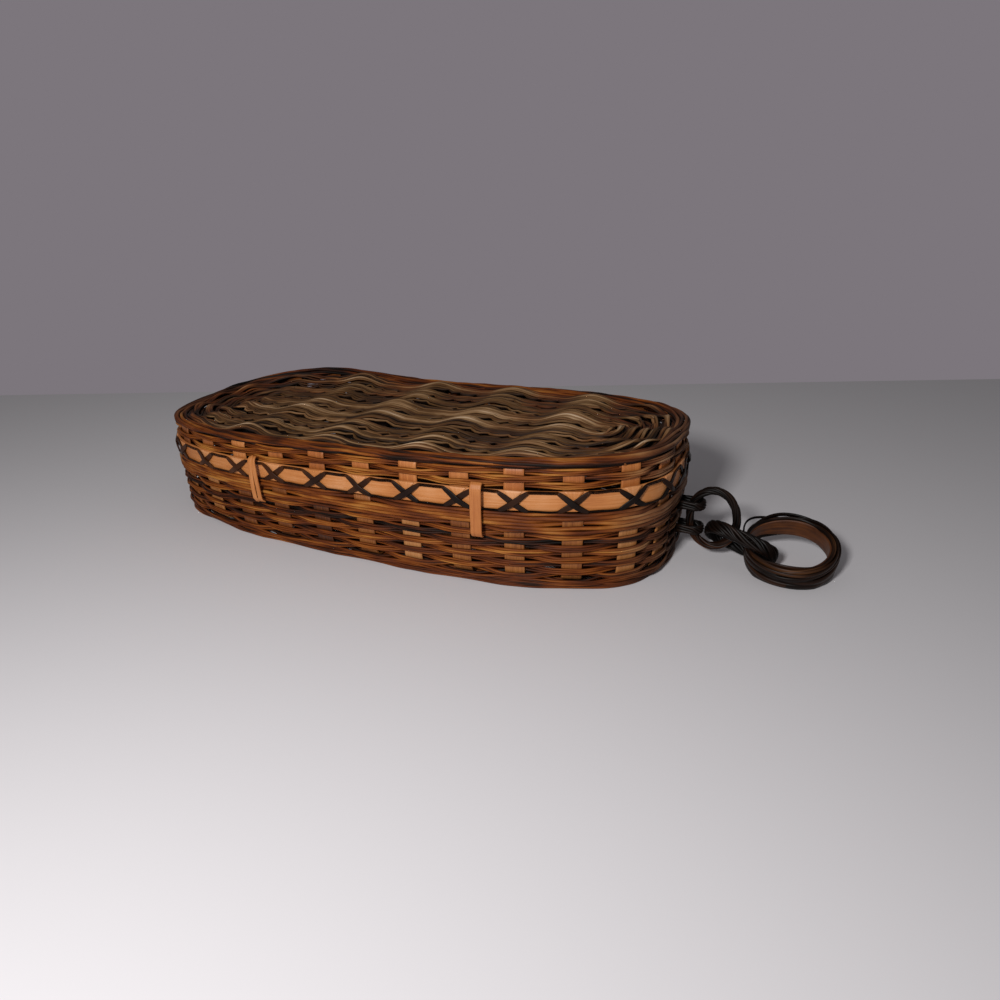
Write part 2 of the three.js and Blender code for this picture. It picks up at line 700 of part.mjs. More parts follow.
// Least distance between points of a wound piece that are at least half a turn apart.
function leastGap(rings, apart) {
  let least = Infinity;
  rings.forEach((ring, i) => {
    for (const other of rings.slice(i + apart)) {
      for (const p of ring) least = Math.min(least, ...other.map((q) => p.distanceTo(q)));
    }
  });
  return least.toFixed(2);
}
console.log(`least gap between the hoop's turns: ${leastGap(hoopRings, stepsPerTurn / 2)} mm`);
const halfTurn = Math.floor(topRings.at(-1).length / 2);
console.log(`least gap between the woven top's turns: ${leastGap(topRings.flat(), halfTurn)} mm`);

export default basket;
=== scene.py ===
# The looks of a small lidded trinket basket: flat wood splints, bundles of fine strands, a laced band and a
# chain of three wound loops. Lengths are in millimetres until meshFrom turns them into metres.
import math

import bpy
import numpy as np
from mathutils import Matrix


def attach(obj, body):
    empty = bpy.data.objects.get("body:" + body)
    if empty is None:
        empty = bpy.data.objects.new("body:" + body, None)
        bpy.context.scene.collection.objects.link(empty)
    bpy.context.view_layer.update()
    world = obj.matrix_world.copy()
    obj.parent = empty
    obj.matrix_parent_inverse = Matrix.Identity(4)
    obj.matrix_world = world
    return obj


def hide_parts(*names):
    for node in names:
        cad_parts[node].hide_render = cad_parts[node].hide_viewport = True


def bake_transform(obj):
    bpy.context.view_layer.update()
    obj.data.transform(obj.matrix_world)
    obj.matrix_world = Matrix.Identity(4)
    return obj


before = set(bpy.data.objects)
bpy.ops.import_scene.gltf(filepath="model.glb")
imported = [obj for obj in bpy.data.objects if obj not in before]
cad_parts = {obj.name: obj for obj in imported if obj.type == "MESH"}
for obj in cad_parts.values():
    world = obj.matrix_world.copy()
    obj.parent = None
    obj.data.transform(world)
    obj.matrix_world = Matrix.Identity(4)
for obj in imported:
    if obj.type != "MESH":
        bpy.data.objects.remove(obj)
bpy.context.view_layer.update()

# Driving sizes that several pieces share, the same as the CAD part's.
basket = {
    "halfLength": 100.0,
    "halfWidth": 46.4,
    "roundness": 2.9,  # exponent of the superellipse
    "chainEndRise": 0.1,  # share by which the wall is taller at the chain end
    "cornerLift": 5.0,  # how far the lid's far corner at the plain end has warped up
    "cornerAt": (-66.0, 34.0),
    "cornerReach": 34.0,
}
stake = {"width": 6.3, "thickness": 0.8, "crossPitch": 17.4, "crossCount": 10, "crossShift": -2.4,
         "longPitch": 14.0, "longCount": 5}
# A wall starts at its edge, where body and lid meet, and goes down (way -1) or up (way 1) to its bend.
body = {"edge": 24.2, "way": -1, "inset": 2.0, "taper": 1.0, "corner": 4.0, "matThickness": 1.2, "climb": 2.0}
lid = {"edge": 24.7, "way": 1, "inset": 2.6, "taper": 0.0, "corner": 1.4, "shoulder": 36.0, "roll": 38.7,
       "dishDepth": 2.0, "dishRun": 8.5, "dive": 4.4}
gap = 0.3  # between pieces that lie on each other
clear = 0.05  # what the lowest strands keep from the table
strandStep = 1.2  # distance between points along a strand
random = np.random.default_rng(20)

stakeStep = stake["thickness"] + gap
baseLevel = body["matThickness"] + gap + stake["thickness"] / 2
body["wall"] = body["edge"] - baseLevel - body["corner"]
lid["wall"] = lid["shoulder"] - lid["edge"]
unitX, unitY, unitZ = np.eye(3)


# Colours are sRGB hex and become linear here.
def toLinear(code):
    channels = [int(code[i : i + 2], 16) / 255 for i in (1, 3, 5)]
    return tuple(c / 12.92 if c <= 0.04045 else ((c + 0.055) / 1.055) ** 2.4 for c in channels) + (1.0,)


# Shades go from the darkest fibre to the palest. A second set is for places that have faded or worn, and on
# the clean splint it is painted shade inside the lid. The fibres' length and width and the blotches, which are
# slow stains, are real sizes, and a strand has a number of fibres round it. A real fibre is a few hundredths
# of a millimetre wide, so fibres are drawn as coarse as they need to show: about half a millimetre.
splintStops = (0.0, 0.35, 0.6, 1.0)
strandStops = (0.0, 0.25, 0.5, 0.75, 1.0)
barkStops = (0.0, 0.4, 0.7, 1.0)
strandBrown = ("#0E0602", "#301405", "#602B09", "#874814", "#AC7030")
finishes = {
    # Flat oak splint, split and shaved: dull, smooth from handling, and with dust in its grain.
    "oakSplint": {
        "slot": "splint", "stops": splintStops, "shades": [("#3E1D08", "#784016", "#A2642E", "#C48C58")],
        "fibreLength": 14.286, "fibreWidth": 0.5263, "blotch": 18.18, "roughness": 0.55, "bump": 0.4,
        "shine": 0.5},
    # The same splint where the lacing and the rows keep it clean: tan, and in the shade inside the lid.
    "cleanOakSplint": {
        "slot": "splint", "stops": splintStops,
        "shades": [("#6E3A16", "#A8602A", "#C47C40", "#E0A474"), ("#0C0502", "#1E0E06", "#36200F", "#5A3A20")],
        "fibreLength": 16.667, "fibreWidth": 0.58824, "blotch": 14.286, "roughness": 0.5, "bump": 0.4,
        "shine": 0.5},
    # Fine strands of rived oak, rounded and twisted: orange-brown to dark brown, and greyer at the ends.
    "oakStrand": {
        "slot": "weaver_strand", "stops": strandStops,
        "shades": [strandBrown, ("#0E0906", "#281A12", "#463226", "#6A5240", "#8E7866")],
        "fibreLength": 8.3333, "fibresRound": 6, "blotch": 14.286, "roughness": 0.58, "bump": 0.56,
        "shine": 0.2},
    # The same strands on the lid's top, which light has bleached where they lie open.
    "bleachedOakStrand": {
        "slot": "bleached_strand", "stops": strandStops,
        "shades": [strandBrown, ("#180C05", "#38210C", "#624220", "#987550", "#CFB190")],
        "fibreLength": 9.0909, "fibresRound": 7, "blotch": 16.667, "roughness": 0.62, "bump": 0.72,
        "shine": 0.3},
    # Strands with their dark bark on: nearly black with a low shine, and brown where it has worn off.
    "barkStrand": {
        "slot": "dark_strand", "stops": barkStops,
        "shades": [("#060302", "#160B06", "#2C180C", "#583820"), ("#1E0E06", "#4C260C", "#784418", "#98662E")],
        "fibreLength": 11.111, "fibresRound": 5, "blotch": 16.667, "roughness": 0.42, "bump": 0.48,
        "shine": 0.16},
    # The hoop's inner splint: brown, because the dark has worn off its face.
    "wornOakSplint": {
        "slot": "dark_strand", "stops": barkStops, "shades": [("#140803", "#42200A", "#723E12", "#96622A")],
        "fibreLength": 16.667, "fibreWidth": 0.66667, "blotch": 8.3333, "roughness": 0.5, "bump": 0.4,
        "shine": 0.5},
}
fibreContrast, blotchContrast = 0.75, 0.7
roughnessSpread = 0.25  # how much smoother a pale fibre is than a dark one
grainDepth = 0.15


# Adds a shader node, sets its properties, its sockets' values and its colour ramp, and links its inputs.
def addNode(tree, kind, props=None, values=None, links=None, ramp=()):
    node = tree.nodes.new("ShaderNode" + kind)
    for key, value in (props or {}).items():
        setattr(node, key, value)
    for key, value in (values or {}).items():
        node.inputs[key].default_value = value
    for key, source in (links or {}).items():
        tree.links.new(source, node.inputs[key])
    for position, code in ramp[2:]:
        node.color_ramp.elements.new(position)
    if ramp:
        for element, (position, code) in zip(node.color_ramp.elements, ramp):
            element.position = position
            element.color = toLinear(code)
    return node


# Wood: its shades are read by the strand's own tone, its fibres, and slow blotches.
def woodMaterial(name, finish):
    material = bpy.data.materials.new(name)
    material.use_nodes = True
    tree = material.node_tree
    tree.nodes.clear()
    across = finish["fibresRound"] if "fibresRound" in finish else 1000 / finish["fibreWidth"]
    scale = (1000 / finish["fibreLength"], across, 1)
    scaled = {"operation": "MULTIPLY_ADD"}
    grainUv = addNode(tree, "UVMap", {"uv_map": "grain"}).outputs["UV"]
    place = addNode(tree, "TexCoord").outputs["Object"]
    tone = addNode(tree, "Attribute", {"attribute_name": "tone"}).outputs["Fac"]
    stretched = addNode(tree, "Mapping", values={"Scale": scale}, links={"Vector": grainUv}).outputs["Vector"]
    fibre = addNode(tree, "TexNoise", values={"Scale": 1.0, "Detail": 5.0, "Roughness": 0.65},
                    links={"Vector": stretched}).outputs["Fac"]
    blotch = addNode(tree, "TexNoise", values={"Scale": 1000 / finish["blotch"], "Detail": 3.0},
                     links={"Vector": place}).outputs["Fac"]
    fibreShare, blotchShare = (
        addNode(tree, "Math", scaled, {1: contrast, 2: -contrast / 2}, {0: source}).outputs[0]
        for source, contrast in ((fibre, fibreContrast), (blotch, blotchContrast)))
    both = addNode(tree, "Math", links={0: fibreShare, 1: blotchShare}).outputs[0]
    level = addNode(tree, "Math", {"use_clamp": True}, links={0: both, 1: tone}).outputs[0]
    colours = [addNode(tree, "ValToRGB", links={"Fac": level}, ramp=list(zip(finish["stops"], shades)))
               for shades in finish["shades"]]
    colour = colours[0].outputs["Color"]
    if len(colours) > 1:
        # The second set is for faded or worn places, and for painted shade where a clean splint runs inside
        # the lid.
        fadeAndShade = addNode(tree, "Attribute", {"attribute_name": "fadeAndShade"}).outputs["Fac"]
        colour = addNode(tree, "Mix", {"data_type": "RGBA"},
                         links={0: fadeAndShade, 6: colour, 7: colours[1].outputs["Color"]}).outputs[2]
    rough = addNode(tree, "Math", scaled, {1: -roughnessSpread, 2: finish["roughness"] + 0.15}, {0: fibre})
    bump = addNode(tree, "Bump", values={"Strength": finish["bump"], "Distance": grainDepth / 1000},
                   links={"Height": fibre}).outputs["Normal"]
    shader = addNode(tree, "BsdfPrincipled", values={"IOR": 1.5, "Specular IOR Level": finish["shine"]},
                     links={"Base Color": colour, "Roughness": rough.outputs[0], "Normal": bump})
    addNode(tree, "OutputMaterial", links={"Surface": shader.outputs["BSDF"]})
    return material


materials = {name: woodMaterial(name, finish) for name, finish in finishes.items()}


def unit(vectors):
    return vectors / np.linalg.norm(vectors, axis=-1, keepdims=True)


# Distance gone along a path at each of its points.
def runLengths(points):
    return np.concatenate([[0], np.cumsum(np.linalg.norm(np.diff(points, axis=0), axis=1))])


# 0 up to start, 1 from start plus run, and straight between.
def fadeIn(value, start, run):
    return np.clip((value - start) / run, 0, 1)


# S-curve of a share: three times its square less twice its cube.
def smooth(share):
    return share * share * (3 - 2 * share)


# Bell curve: e to the minus square of the distance over its reach.
def bell(away, reach):
    return np.exp(-((away / reach) ** 2))


# Points or vectors of the plan with a height.
def raised(plan, z=0.0):
    return np.concatenate([plan, np.broadcast_to(z, plan.shape[:-1])[..., None]], -1)


# Superellipse: each half size times the cosine or sine of the angle to the power of 2 over the roundness.
def superellipse(halfX, halfY, roundness, angle):
    c, s = np.cos(angle), np.sin(angle)
    power = 2 / roundness
    return np.stack([halfX * np.sign(c) * np.abs(c) ** power, halfY * np.sign(s) * np.abs(s) ** power], -1)


# Oval of the basket's roundness: distances, points and outward normals at even steps of arc from the middle
# of the -Y side, counter-clockwise. Directions are taken over a few steps, which smooths them.
def ovalOf(halfLength, halfWidth):
    count, reach = 6000, 15
    angle = np.linspace(-0.5 * np.pi, 1.5 * np.pi, count + 1)
    points = superellipse(halfLength, halfWidth, basket["roundness"], angle)
    gone = runLengths(points)
    along = np.linspace(0, gone[-1], count + 1)
    points = np.stack([np.interp(along, gone, points[:, k]) for k in (0, 1)], 1)
    tangent = unit(np.roll(points[:-1], -reach, axis=0) - np.roll(points[:-1], reach, axis=0))
    tangent = np.vstack([tangent, tangent[:1]])
    return {"half": (halfLength, halfWidth), "along": along, "points": points,
            "normals": np.stack([tangent[:, 1], -tangent[:, 0]], 1)}


outline = ovalOf(basket["halfLength"], basket["halfWidth"])
perimeter = outline["along"][-1]


# Points and outward normals of an oval at distances that may lie outside one round.
def onOval(along, oval=outline):
    s = np.mod(along, oval["along"][-1])
    point, normal = (np.stack([np.interp(s, oval["along"], oval[key][:, k]) for k in (0, 1)], -1)
                     for key in ("points", "normals"))
    return point, unit(normal)


# Even steps once round an oval: distances, shares of the round, points and outward normals.
def stepsRound(oval=outline, spacing=strandStep):
    total = oval["along"][-1]
    count = int(total / spacing)
    along = np.arange(count) * total / count
    return along, along / total, *onOval(along, oval)


# Where the line at a place on an axis (0 or 1) crosses an oval's side (-1 or 1): the other coordinate, and
# the distance along the oval.
def crossing(oval, axis, place, side):
    n = basket["roundness"]
    other = side * oval["half"][1 - axis] * (1 - abs(place / oval["half"][axis]) ** n) ** (1 / n)
    x, y = (other, place) if axis else (place, other)
    nearest = np.argmin(np.hypot(oval["points"][:, 0] - x, oval["points"][:, 1] - y))
    return other, oval["along"][nearest]


crossAt = [stake["crossShift"] + (i - (stake["crossCount"] - 1) / 2) * stake["crossPitch"]
           for i in range(stake["crossCount"])]
longAt = [(i - (stake["longCount"] - 1) / 2) * stake["longPitch"] for i in range(stake["longCount"])]
crossEnds, longEnds = ([[crossing(outline, axis, place, side)[1] for side in (-1, 1)] for place in places]
                       for axis, places in enumerate((crossAt, longAt)))
stakeAlong = np.sort(np.ravel(crossEnds + longEnds))


# Where the cross stakes run once they are inside.
def crossRuns(inset):
    point, normal = onOval(np.array(crossEnds)[:, 0])
    return (point - normal * inset)[:, 0]


# About how far points lie inside the outline: how far the superellipse's sum is from 1, over its slope.
def depthInside(x, y):
    u = np.abs(x) / basket["halfLength"]
    v = np.abs(y) / basket["halfWidth"]
    n = basket["roundness"]
    total = np.maximum(u**n + v**n, 1e-6)
    slope = np.hypot(u ** (n - 1) / basket["halfLength"], v ** (n - 1) / basket["halfWidth"])
    depth = (1 - total ** (1 / n)) / (total ** (1 / n - 1) * np.maximum(slope, 1e-5))
    return np.minimum(depth, basket["halfWidth"])


# The body leans: heights grow toward the chain end.
def leaned(points):
    out = np.array(points, float)
    out[..., 2] *= 1 + basket["chainEndRise"] * out[..., 0] / basket["halfLength"]
    return out


# The lid leans too, and its far corner at the plain end rises by a bell curve of the distance to it.
def warped(points):
    x, y, z = np.moveaxis(points, -1, 0)
    away = np.hypot(x - basket["cornerAt"][0], y - basket["cornerAt"][1])
    climb = smooth(fadeIn(z, lid["edge"], lid["roll"] + 1 - lid["edge"]))
    inside = fadeIn(depthInside(x, y), lid["inset"] + lid["corner"], lid["dishRun"])
    out = leaned(points)
    out[..., 2] += basket["cornerLift"] * climb * bell(away, basket["cornerReach"]) * (1 - inside)
    return out


body["settle"], lid["settle"] = leaned, warped


# A wall's profile at distance u from its edge: inset, height and the outward direction (out, up). It runs
# straight, drawing in by its taper, and then turns through a quarter circle.
def wallProfile(wall, u):
    straight = np.minimum(u, wall["wall"])
    turn = np.clip((u - wall["wall"]) / wall["corner"], 0, math.pi / 2)
    inset = wall["inset"] + wall["taper"] * straight / wall["wall"] + wall["corner"] * (1 - np.cos(turn))
    height = wall["edge"] + wall["way"] * (straight + wall["corner"] * np.sin(turn))
    return inset, height, np.cos(turn), wall["way"] * np.sin(turn)


# Slow waver of a strand at shares of its round: a sum of sines, each with a whole number of waves from low up
# to high.
def waver(share, size, low, high):
    count = 7
    waves = random.integers(low, high, count)
    phases = random.uniform(0, 2 * np.pi, count)
    return size * np.sin(2 * np.pi * share[:, None] * waves + phases).sum(1) / math.sqrt(count)


# Height of a strand along its round, from its height at each crossing. Between two of them it eases by a
# cosine that is flattened at its ends, with a share of S-curve.
def weaveHeight(along, total, crossings, heights):
    flatness, sShare = 1.15, 0.35
    order = np.argsort(crossings)
    at = np.array(crossings)[order]
    height = np.array(heights)[order]
    at = np.concatenate([[at[-1] - total], at, [at[0] + total]])
    height = np.concatenate([height[-1:], height, height[:1]])
    index = np.clip(np.searchsorted(at, along, side="right") - 1, 0, len(at) - 2)
    share = (along - at[index]) / (at[index + 1] - at[index])
    ease = np.clip(0.5 - 0.5 * flatness * np.cos(np.pi * share), 0, 1)
    ease = smooth(ease) * sShare + ease * (1 - sShare)
    return height[index] + (height[index + 1] - height[index]) * ease


# Joins grids into one mesh. A grid has points (rings along a path, points round each ring), tones, places
# round the ring for the grain, and how faded each ring is or how much painted shade it has. It is closed round
# its section, and along its path or by caps. Faces point outward where the points go counter-clockwise as
# seen from ahead on the path.
def meshFrom(name, grids, finish, closed):
    vertices, corners, counts, uvs, tones, fadesAndShades = [], [], [], [], [], []
    used = 0
    for points, tone, girth, fadeAndShade in grids:
        rings, around = points.shape[:2]
        centres = points.mean(1)
        length = runLengths(np.vstack([centres, centres[:1]])) / 1000
        girth = np.append(girth, girth[-1] + (girth[1] - girth[0]))
        i = np.arange(rings if closed else rings - 1)[:, None]
        j = np.arange(around)
        ring, ringAhead, beside = i * around, (i + 1) % rings * around, (j + 1) % around
        quads = np.stack([ring + j, ring + beside, ringAhead + beside, ringAhead + j], -1)
        corners.append(used + quads.ravel())
        u = length[i + [0, 0, 1, 1]][:, None]
        v = girth[j[:, None] + [0, 1, 1, 0]][None]
        uvs.append(np.stack(np.broadcast_arrays(u, v), -1).reshape(-1, 2))
        counts.append(np.full(len(i) * around, 4))
        if not closed:
            for capRing, turn in ((0, -1), (rings - 1, 1)):
                corners.append(used + capRing * around + j[::turn])
                uvs.append(np.stack([np.full(around, length[capRing]), girth[:around]], 1))
                counts.append([around])
        vertices.append(points.reshape(-1, 3) / 1000)
        tones.append(np.broadcast_to(tone.reshape(rings, -1), (rings, around)).ravel())
        fadesAndShades.append(np.repeat(fadeAndShade, around))
        used += rings * around
    corners = np.concatenate(corners)
    counts = np.concatenate(counts)
    mesh = bpy.data.meshes.new(name)
    mesh.vertices.add(used)
    mesh.vertices.foreach_set("co", np.concatenate(vertices).astype(np.float32).ravel())
    mesh.loops.add(len(corners))
    mesh.loops.foreach_set("vertex_index", corners.astype(np.int32))
    mesh.polygons.add(len(counts))
    mesh.polygons.foreach_set("loop_start", (np.cumsum(counts) - counts).astype(np.int32))
    mesh.polygons.foreach_set("use_smooth", np.ones(len(counts), bool))
    layer = mesh.uv_layers.new(name="grain")
    layer.data.foreach_set("uv", np.concatenate(uvs).astype(np.float32).ravel())
    for label, values in (("tone", tones), ("fadeAndShade", fadesAndShades)):
        attribute = mesh.attributes.new(label, "FLOAT", "POINT")
        attribute.data.foreach_set("value", np.concatenate(values).astype(np.float32))
    mesh.update(calc_edges=True)
    mesh.validate()
    mesh.materials.append(materials[finish])
    piece = bpy.data.objects.new(name, mesh)
    bpy.context.scene.collection.objects.link(piece)
    return piece


# Makes a piece, gives it its body and its material, and hides the CAD node that it stands for.
def makePiece(name, grids, finish, bodyName, *nodes, closed=True):
    piece = meshFrom(name, grids, finish, closed)
    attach(piece, bodyName)
    if nodes:
        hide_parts(*nodes)


# Frames of a path: its direction by differences, then across and out made square to it. The hint says roughly
# which way is out.
def squared(points, hint, closed=True):
    if closed:
        ahead = unit(np.roll(points, -1, axis=0) - np.roll(points, 1, axis=0))
    else:
        ahead = unit(np.gradient(points, axis=0))
    out = unit(hint - ahead * (hint * ahead).sum(1, keepdims=True))
    return np.cross(out, ahead), out


# Round strand: an ellipse of size (across, out) carried along a path. Its inner side is painted darker as
# painted shade, where it lies against what is under and beside it; crown lifts its whole tone a little.
def strandGrid(centre, hint, size, tone, fadeAndShade=0.0, closed=True):
    sides, innerPaintedShade, crown = 6, 0.42, 0.05
    across, out = squared(centre, hint, closed)
    angle = (np.arange(sides) + 0.5) / sides * 2 * np.pi
    wide = np.broadcast_to(size[0], len(centre))[:, None] / 2
    points = (centre[:, None] + across[:, None] * (np.cos(angle) * wide)[:, :, None]
              + out[:, None] * (np.sin(angle) * size[1] / 2)[:, None])
    # Painted shade: the tone falls toward the inner side of the section.
    tones = np.broadcast_to(tone, len(centre))[:, None] - innerPaintedShade * (1 - np.sin(angle)) / 2 + crown
    girth = random.uniform(0, 40) + np.arange(sides) / sides
    return points, tones, girth, np.broadcast_to(fadeAndShade, len(centre))


# Flat splint: a rectangle with soft edges carried along a path.
def splintGrid(centre, across, out, width, thickness, tone, fadeAndShade=0.0):
    edge = min(0.18, thickness * 0.4)
    w = np.broadcast_to(width, len(centre)) / 2
    t = thickness / 2
    inner = 0.7 * w
    side = np.stack([-w, -w, edge - w, -inner, inner, w - edge, w, w, w - edge, inner, -inner, edge - w], 1)
    rise = np.array([t - edge, edge - t, -t, -t, -t, -t, edge - t, t - edge, t, t, t, t])
    across = np.broadcast_to(across, centre.shape)
    points = centre[:, None] + across[:, None] * side[:, :, None] + out[:, None] * rise[:, None]
    girth = random.uniform(0, 4) + np.array([0, 0, *side[0, 2:]]) / 1000
    return points, np.broadcast_to(tone, len(centre)), girth, np.broadcast_to(fadeAndShade, len(centre))


# Woven rows: the strands of a bundle lie side by side across its height, and first and pitch are distances
# from the wall's edge. Tone is a mean and a spread.
rowSets = {
    "body_weave": {"node": "body_row", "rides": "basket", "wall": body, "count": 9, "first": 6.1,
                   "pitch": 1.86, "strands": 3, "size": (0.74, 0.95), "reach": 1.0, "tone": (0.43, 0.16),
                   "passing": {}},
    "rim_weave": {"node": "body_rim_row", "rides": "basket", "wall": body, "count": 3, "first": -0.4,
                  "pitch": 2.15, "strands": 2, "size": (1.25, 1.3), "reach": 1.1, "tone": (0.6, 0.11),
                  "passing": {"every": 6, "onward": 2, "first": 0, "behind": -0.55}},
    "lid_weave": {"node": "lid_row", "rides": "lid", "wall": lid, "count": 3, "first": 6.62,
                  "pitch": 1.95, "strands": 3, "size": (0.74, 1.0), "reach": 1.0, "tone": (0.62, 0.12),
                  "passing": {}},
}
wear = {"most": 0.65, "from": 84.0, "run": 14.0}  # the strands have gone grey at the two ends


# Which side of each stake a row is on: 1 in front, and behind at every so many, one place onward per row.
def passes(row, every=2, onward=1, first=1, behind=-1.0):
    return np.where((np.arange(len(stakeAlong)) + onward * row + first) % every == 0, behind, 1.0)


def worn(points):
    return wear["most"] * fadeIn(np.abs(points[:, 0]), wear["from"], wear["run"])


# How many strands a strand lies from the middle of its bundle.
def offMiddle(strand, amount):
    return strand - (amount - 1) / 2


# A bundle that goes round the wall. Each strand keeps its place across the bundle, wavers, and passes the
# stakes on alternate sides. It is painted darker where it goes behind one and paler where it comes forward:
# painted shade and painted light.
def wallBundle(rows, row):
    wall = rows["wall"]
    wide, deep = rows["size"]
    along, share, point, normal = stepsRound()
    over = weaveHeight(along, perimeter, stakeAlong, passes(row, **rows["passing"]))
    inset, height, out, up = wallProfile(wall, rows["first"] + (row + 0.5) * rows["pitch"])
    facing = raised(normal * out, up)
    upward = raised(-normal * up, out)
    grids = []
    for strand in range(rows["strands"]):
        lift = offMiddle(strand, rows["strands"]) * wide * 0.88 + waver(share, 0.11, 9, 46)
        push = over * rows["reach"] + waver(share, 0.1, 7, 38)
        centre = raised(point - normal * inset, height) + facing * push[:, None] + upward * lift[:, None]
        stretch = wall["settle"](centre + unitZ)[:, 2] - wall["settle"](centre)[:, 2]
        centre = wall["settle"](centre)
        # Painted shade and light: darker behind a stake and paler in front of one, by over.
        tone = random.normal(*rows["tone"]) + waver(share, 0.13, 4, 34) + 0.11 * over
        thick = random.uniform(0.85, 1.12)
        grids.append(strandGrid(centre, facing, (wide * thick * stretch, deep * thick), tone, worn(centre)))
    return grids


for name, rows in rowSets.items():
    for row in range(rows["count"]):
        number = row + 1 if rows["wall"]["way"] > 0 else rows["count"] - row  # counted from below
        makePiece(f"{name}_{number}", wallBundle(rows, row), "oakStrand", rows["rides"],
                  f"{rows['node']}_{number}")
print("woven walls made")

# Stakes. Cross and long list how the two families go on inside the bend, as (run, change of height).
dish = lid["dishRun"]
stakeSets = {
    "body": {"wall": body, "rides": "basket", "finish": "oakSplint", "tone": (0.48, 0.15), "cross": [],
             "long": [(body["climb"], stakeStep)]},
    "lid": {"wall": lid, "rides": "lid", "finish": "cleanOakSplint", "tone": (0.38, 0.12),
            "cross": [(share * dish, -share * lid["dishDepth"]) for share in (1 / 3, 2 / 3, 1)],
            "long": [(run, -lid["dishDepth"] - stakeStep)
                     for run in (lid["dive"], dish, 1.5 * dish, 2 * dish)]},
}


# A stake: down (or up) one wall, round the bend, across, and back along the other wall.
def stakeGrid(ends, lengthwise, wall, inland, tone):
    start, wallSteps, bendSteps, middleSteps = 0.2, 14, 9, 8
    travel, level = (unitX, -unitY) if lengthwise else (unitY, unitX)
    bend = wall["corner"] * math.pi / 2
    u = np.concatenate([np.linspace(start, wall["wall"], wallSteps)[:-1],
                        np.linspace(wall["wall"], wall["wall"] + bend, bendSteps)])
    inset, height, out, up = (value[:, None] for value in wallProfile(wall, u))
    turned = fadeIn(u, wall["wall"], bend)[:, None] ** 4
    runs = np.array(inland, float).reshape(-1, 2)
    legs = []
    for way, along in zip((1, -1), ends):
        around, _ = onOval(along + stake["width"] * np.array([-0.5, 0.5]))
        tangent = unit(around[1] - around[0])
        normal = np.array([tangent[1], -tangent[0]])
        centre = raised(around.mean(0) - normal * inset, height[:, 0])
        across = unit(raised(tangent * way) * (1 - turned) + level * turned)
        leg = np.stack([centre, across, raised(normal * out, up[:, 0])], 1)
        inner = np.repeat(leg[-1:], len(runs), axis=0)
        inner[:, 0] += travel * (way * runs[:, :1] / abs(normal @ travel[:2])) + unitZ * runs[:, 1:]
        legs.append(np.concatenate([leg, inner]))
    share = np.linspace(0, 1, middleSteps + 2)[1:-1, None, None]
    between = legs[0][-1] * (1 - share) + legs[1][-1] * share
    centre, across, facing = np.moveaxis(np.concatenate([legs[0], between, legs[1][::-1]]), 1, 0)
    inside = np.zeros(len(centre))  # dark where it runs inside, out of the light
    inside[len(u) : -len(u)] = 1
    points, tones, girth, inside = splintGrid(wall["settle"](centre), across, facing, stake["width"],
                                              stake["thickness"] * 0.9, tone, inside)
    turn = -wall["way"]  # a section goes round the other way where the wall goes up
    return points[:, ::turn], tones, girth[::turn], inside


for family, allEnds in (("cross", crossEnds), ("long", longEnds)):
    for number, ends in enumerate(allEnds, 1):
        for place, looks in stakeSets.items():
            tone = random.normal(*looks["tone"])
            grid = stakeGrid(ends, family == "long", looks["wall"], looks[family], tone)
            makePiece(f"{place}_splint_{family}_{number}", [grid], looks["finish"], looks["rides"],
                      f"{place}_{family}_stake_{number}", closed=False)
print("stakes made")

topWeave = {
    "inset": 5.6,  # of the outermost turn's edge
    "pitch": 9.0,
    "gap": 0.6,  # between turns where they lie flat
    "strandPitch": 1.25,
    "size": (1.2, 0.76),  # of a strand
    "endShare": 0.5,  # pitch of the turns at the ends, as a share of that at the sides
    "squarer": 0.05,  # how much each millimetre inward adds to the roundness
    "slack": 0.9,  # how much less than the stakes it sinks
    "hump": 2.1,  # rise over every second stake
    "humpReach": (7.2, 8.4),  # toward the plain end and toward the chain
    "low": 0.2,  # rise over the stakes between
    "lowReach": 4.5,
    "endHump": (1.4, -0.3),  # over and under the long stakes
    "endReach": 5.0,
    "lean": 1.5,  # how far the strands shift toward the back where they rise
    "pinch": 2.0,  # how far a turn's edges draw in beside a stake
    "humpPinches": ((-7.0, 0.35, 1.56), (5.6, 1.3, 1.56)),  # (place, depth, reach) beside a humped stake
    "lowPinches": ((-3.8, 1.25, 1.2), (3.8, 1.25, 1.2)),
    "lump": (0.8, 1.2),  # height of single humps
    "slip": 1.1,  # how far they lie off their stakes
    "stray": (-0.35, 0.25),  # what it adds to the depth of single pinches
}


# Point of a turn of the top at an angle: a superellipse drawn in by an inset. The turns lie closer together
# at the ends, and the inner ones have squarer corners.
def drawnIn(inset, angle):
    past = inset - topWeave["inset"]
    halfX = basket["halfLength"] - topWeave["inset"] - topWeave["endShare"] * past
    roundness = basket["roundness"] + topWeave["squarer"] * past
    return superellipse(halfX, basket["halfWidth"] - inset, roundness, angle)


# Level of the top's underside: it falls with the stakes over the dish's run.
def topFoot(inset):
    foot = lid["shoulder"] + lid["corner"] + stake["thickness"] / 2 + gap
    fall = fadeIn(inset, lid["inset"] + lid["corner"], lid["dishRun"])
    return foot - (lid["dishDepth"] - topWeave["slack"]) * fall


# How far a turn rises over the cross stakes, and how far its edges draw in beside them: bell curves of the
# distance to each stake. Humps differ from stake to stake and from the front (0) to the back (1).
def humpsAndPinches(x, back, places, humps):
    rise, pinch = np.zeros((2, len(x)))
    for i, run in enumerate(places):
        lump, slip, stray = humps[:, i, back]
        away = x - run - slip
        if i % 2 == 0:
            toPlainEnd, toChain = topWeave["humpReach"]
            rise += topWeave["hump"] * lump * bell(away, np.where(away > 0, toChain, toPlainEnd))
        else:
            rise += topWeave["low"] * lump * bell(away, topWeave["lowReach"])
        for place, depth, reach in topWeave["lowPinches" if i % 2 else "humpPinches"]:
            pinch += (depth + stray) * bell(away - place, reach)
    return np.array([rise, pinch])


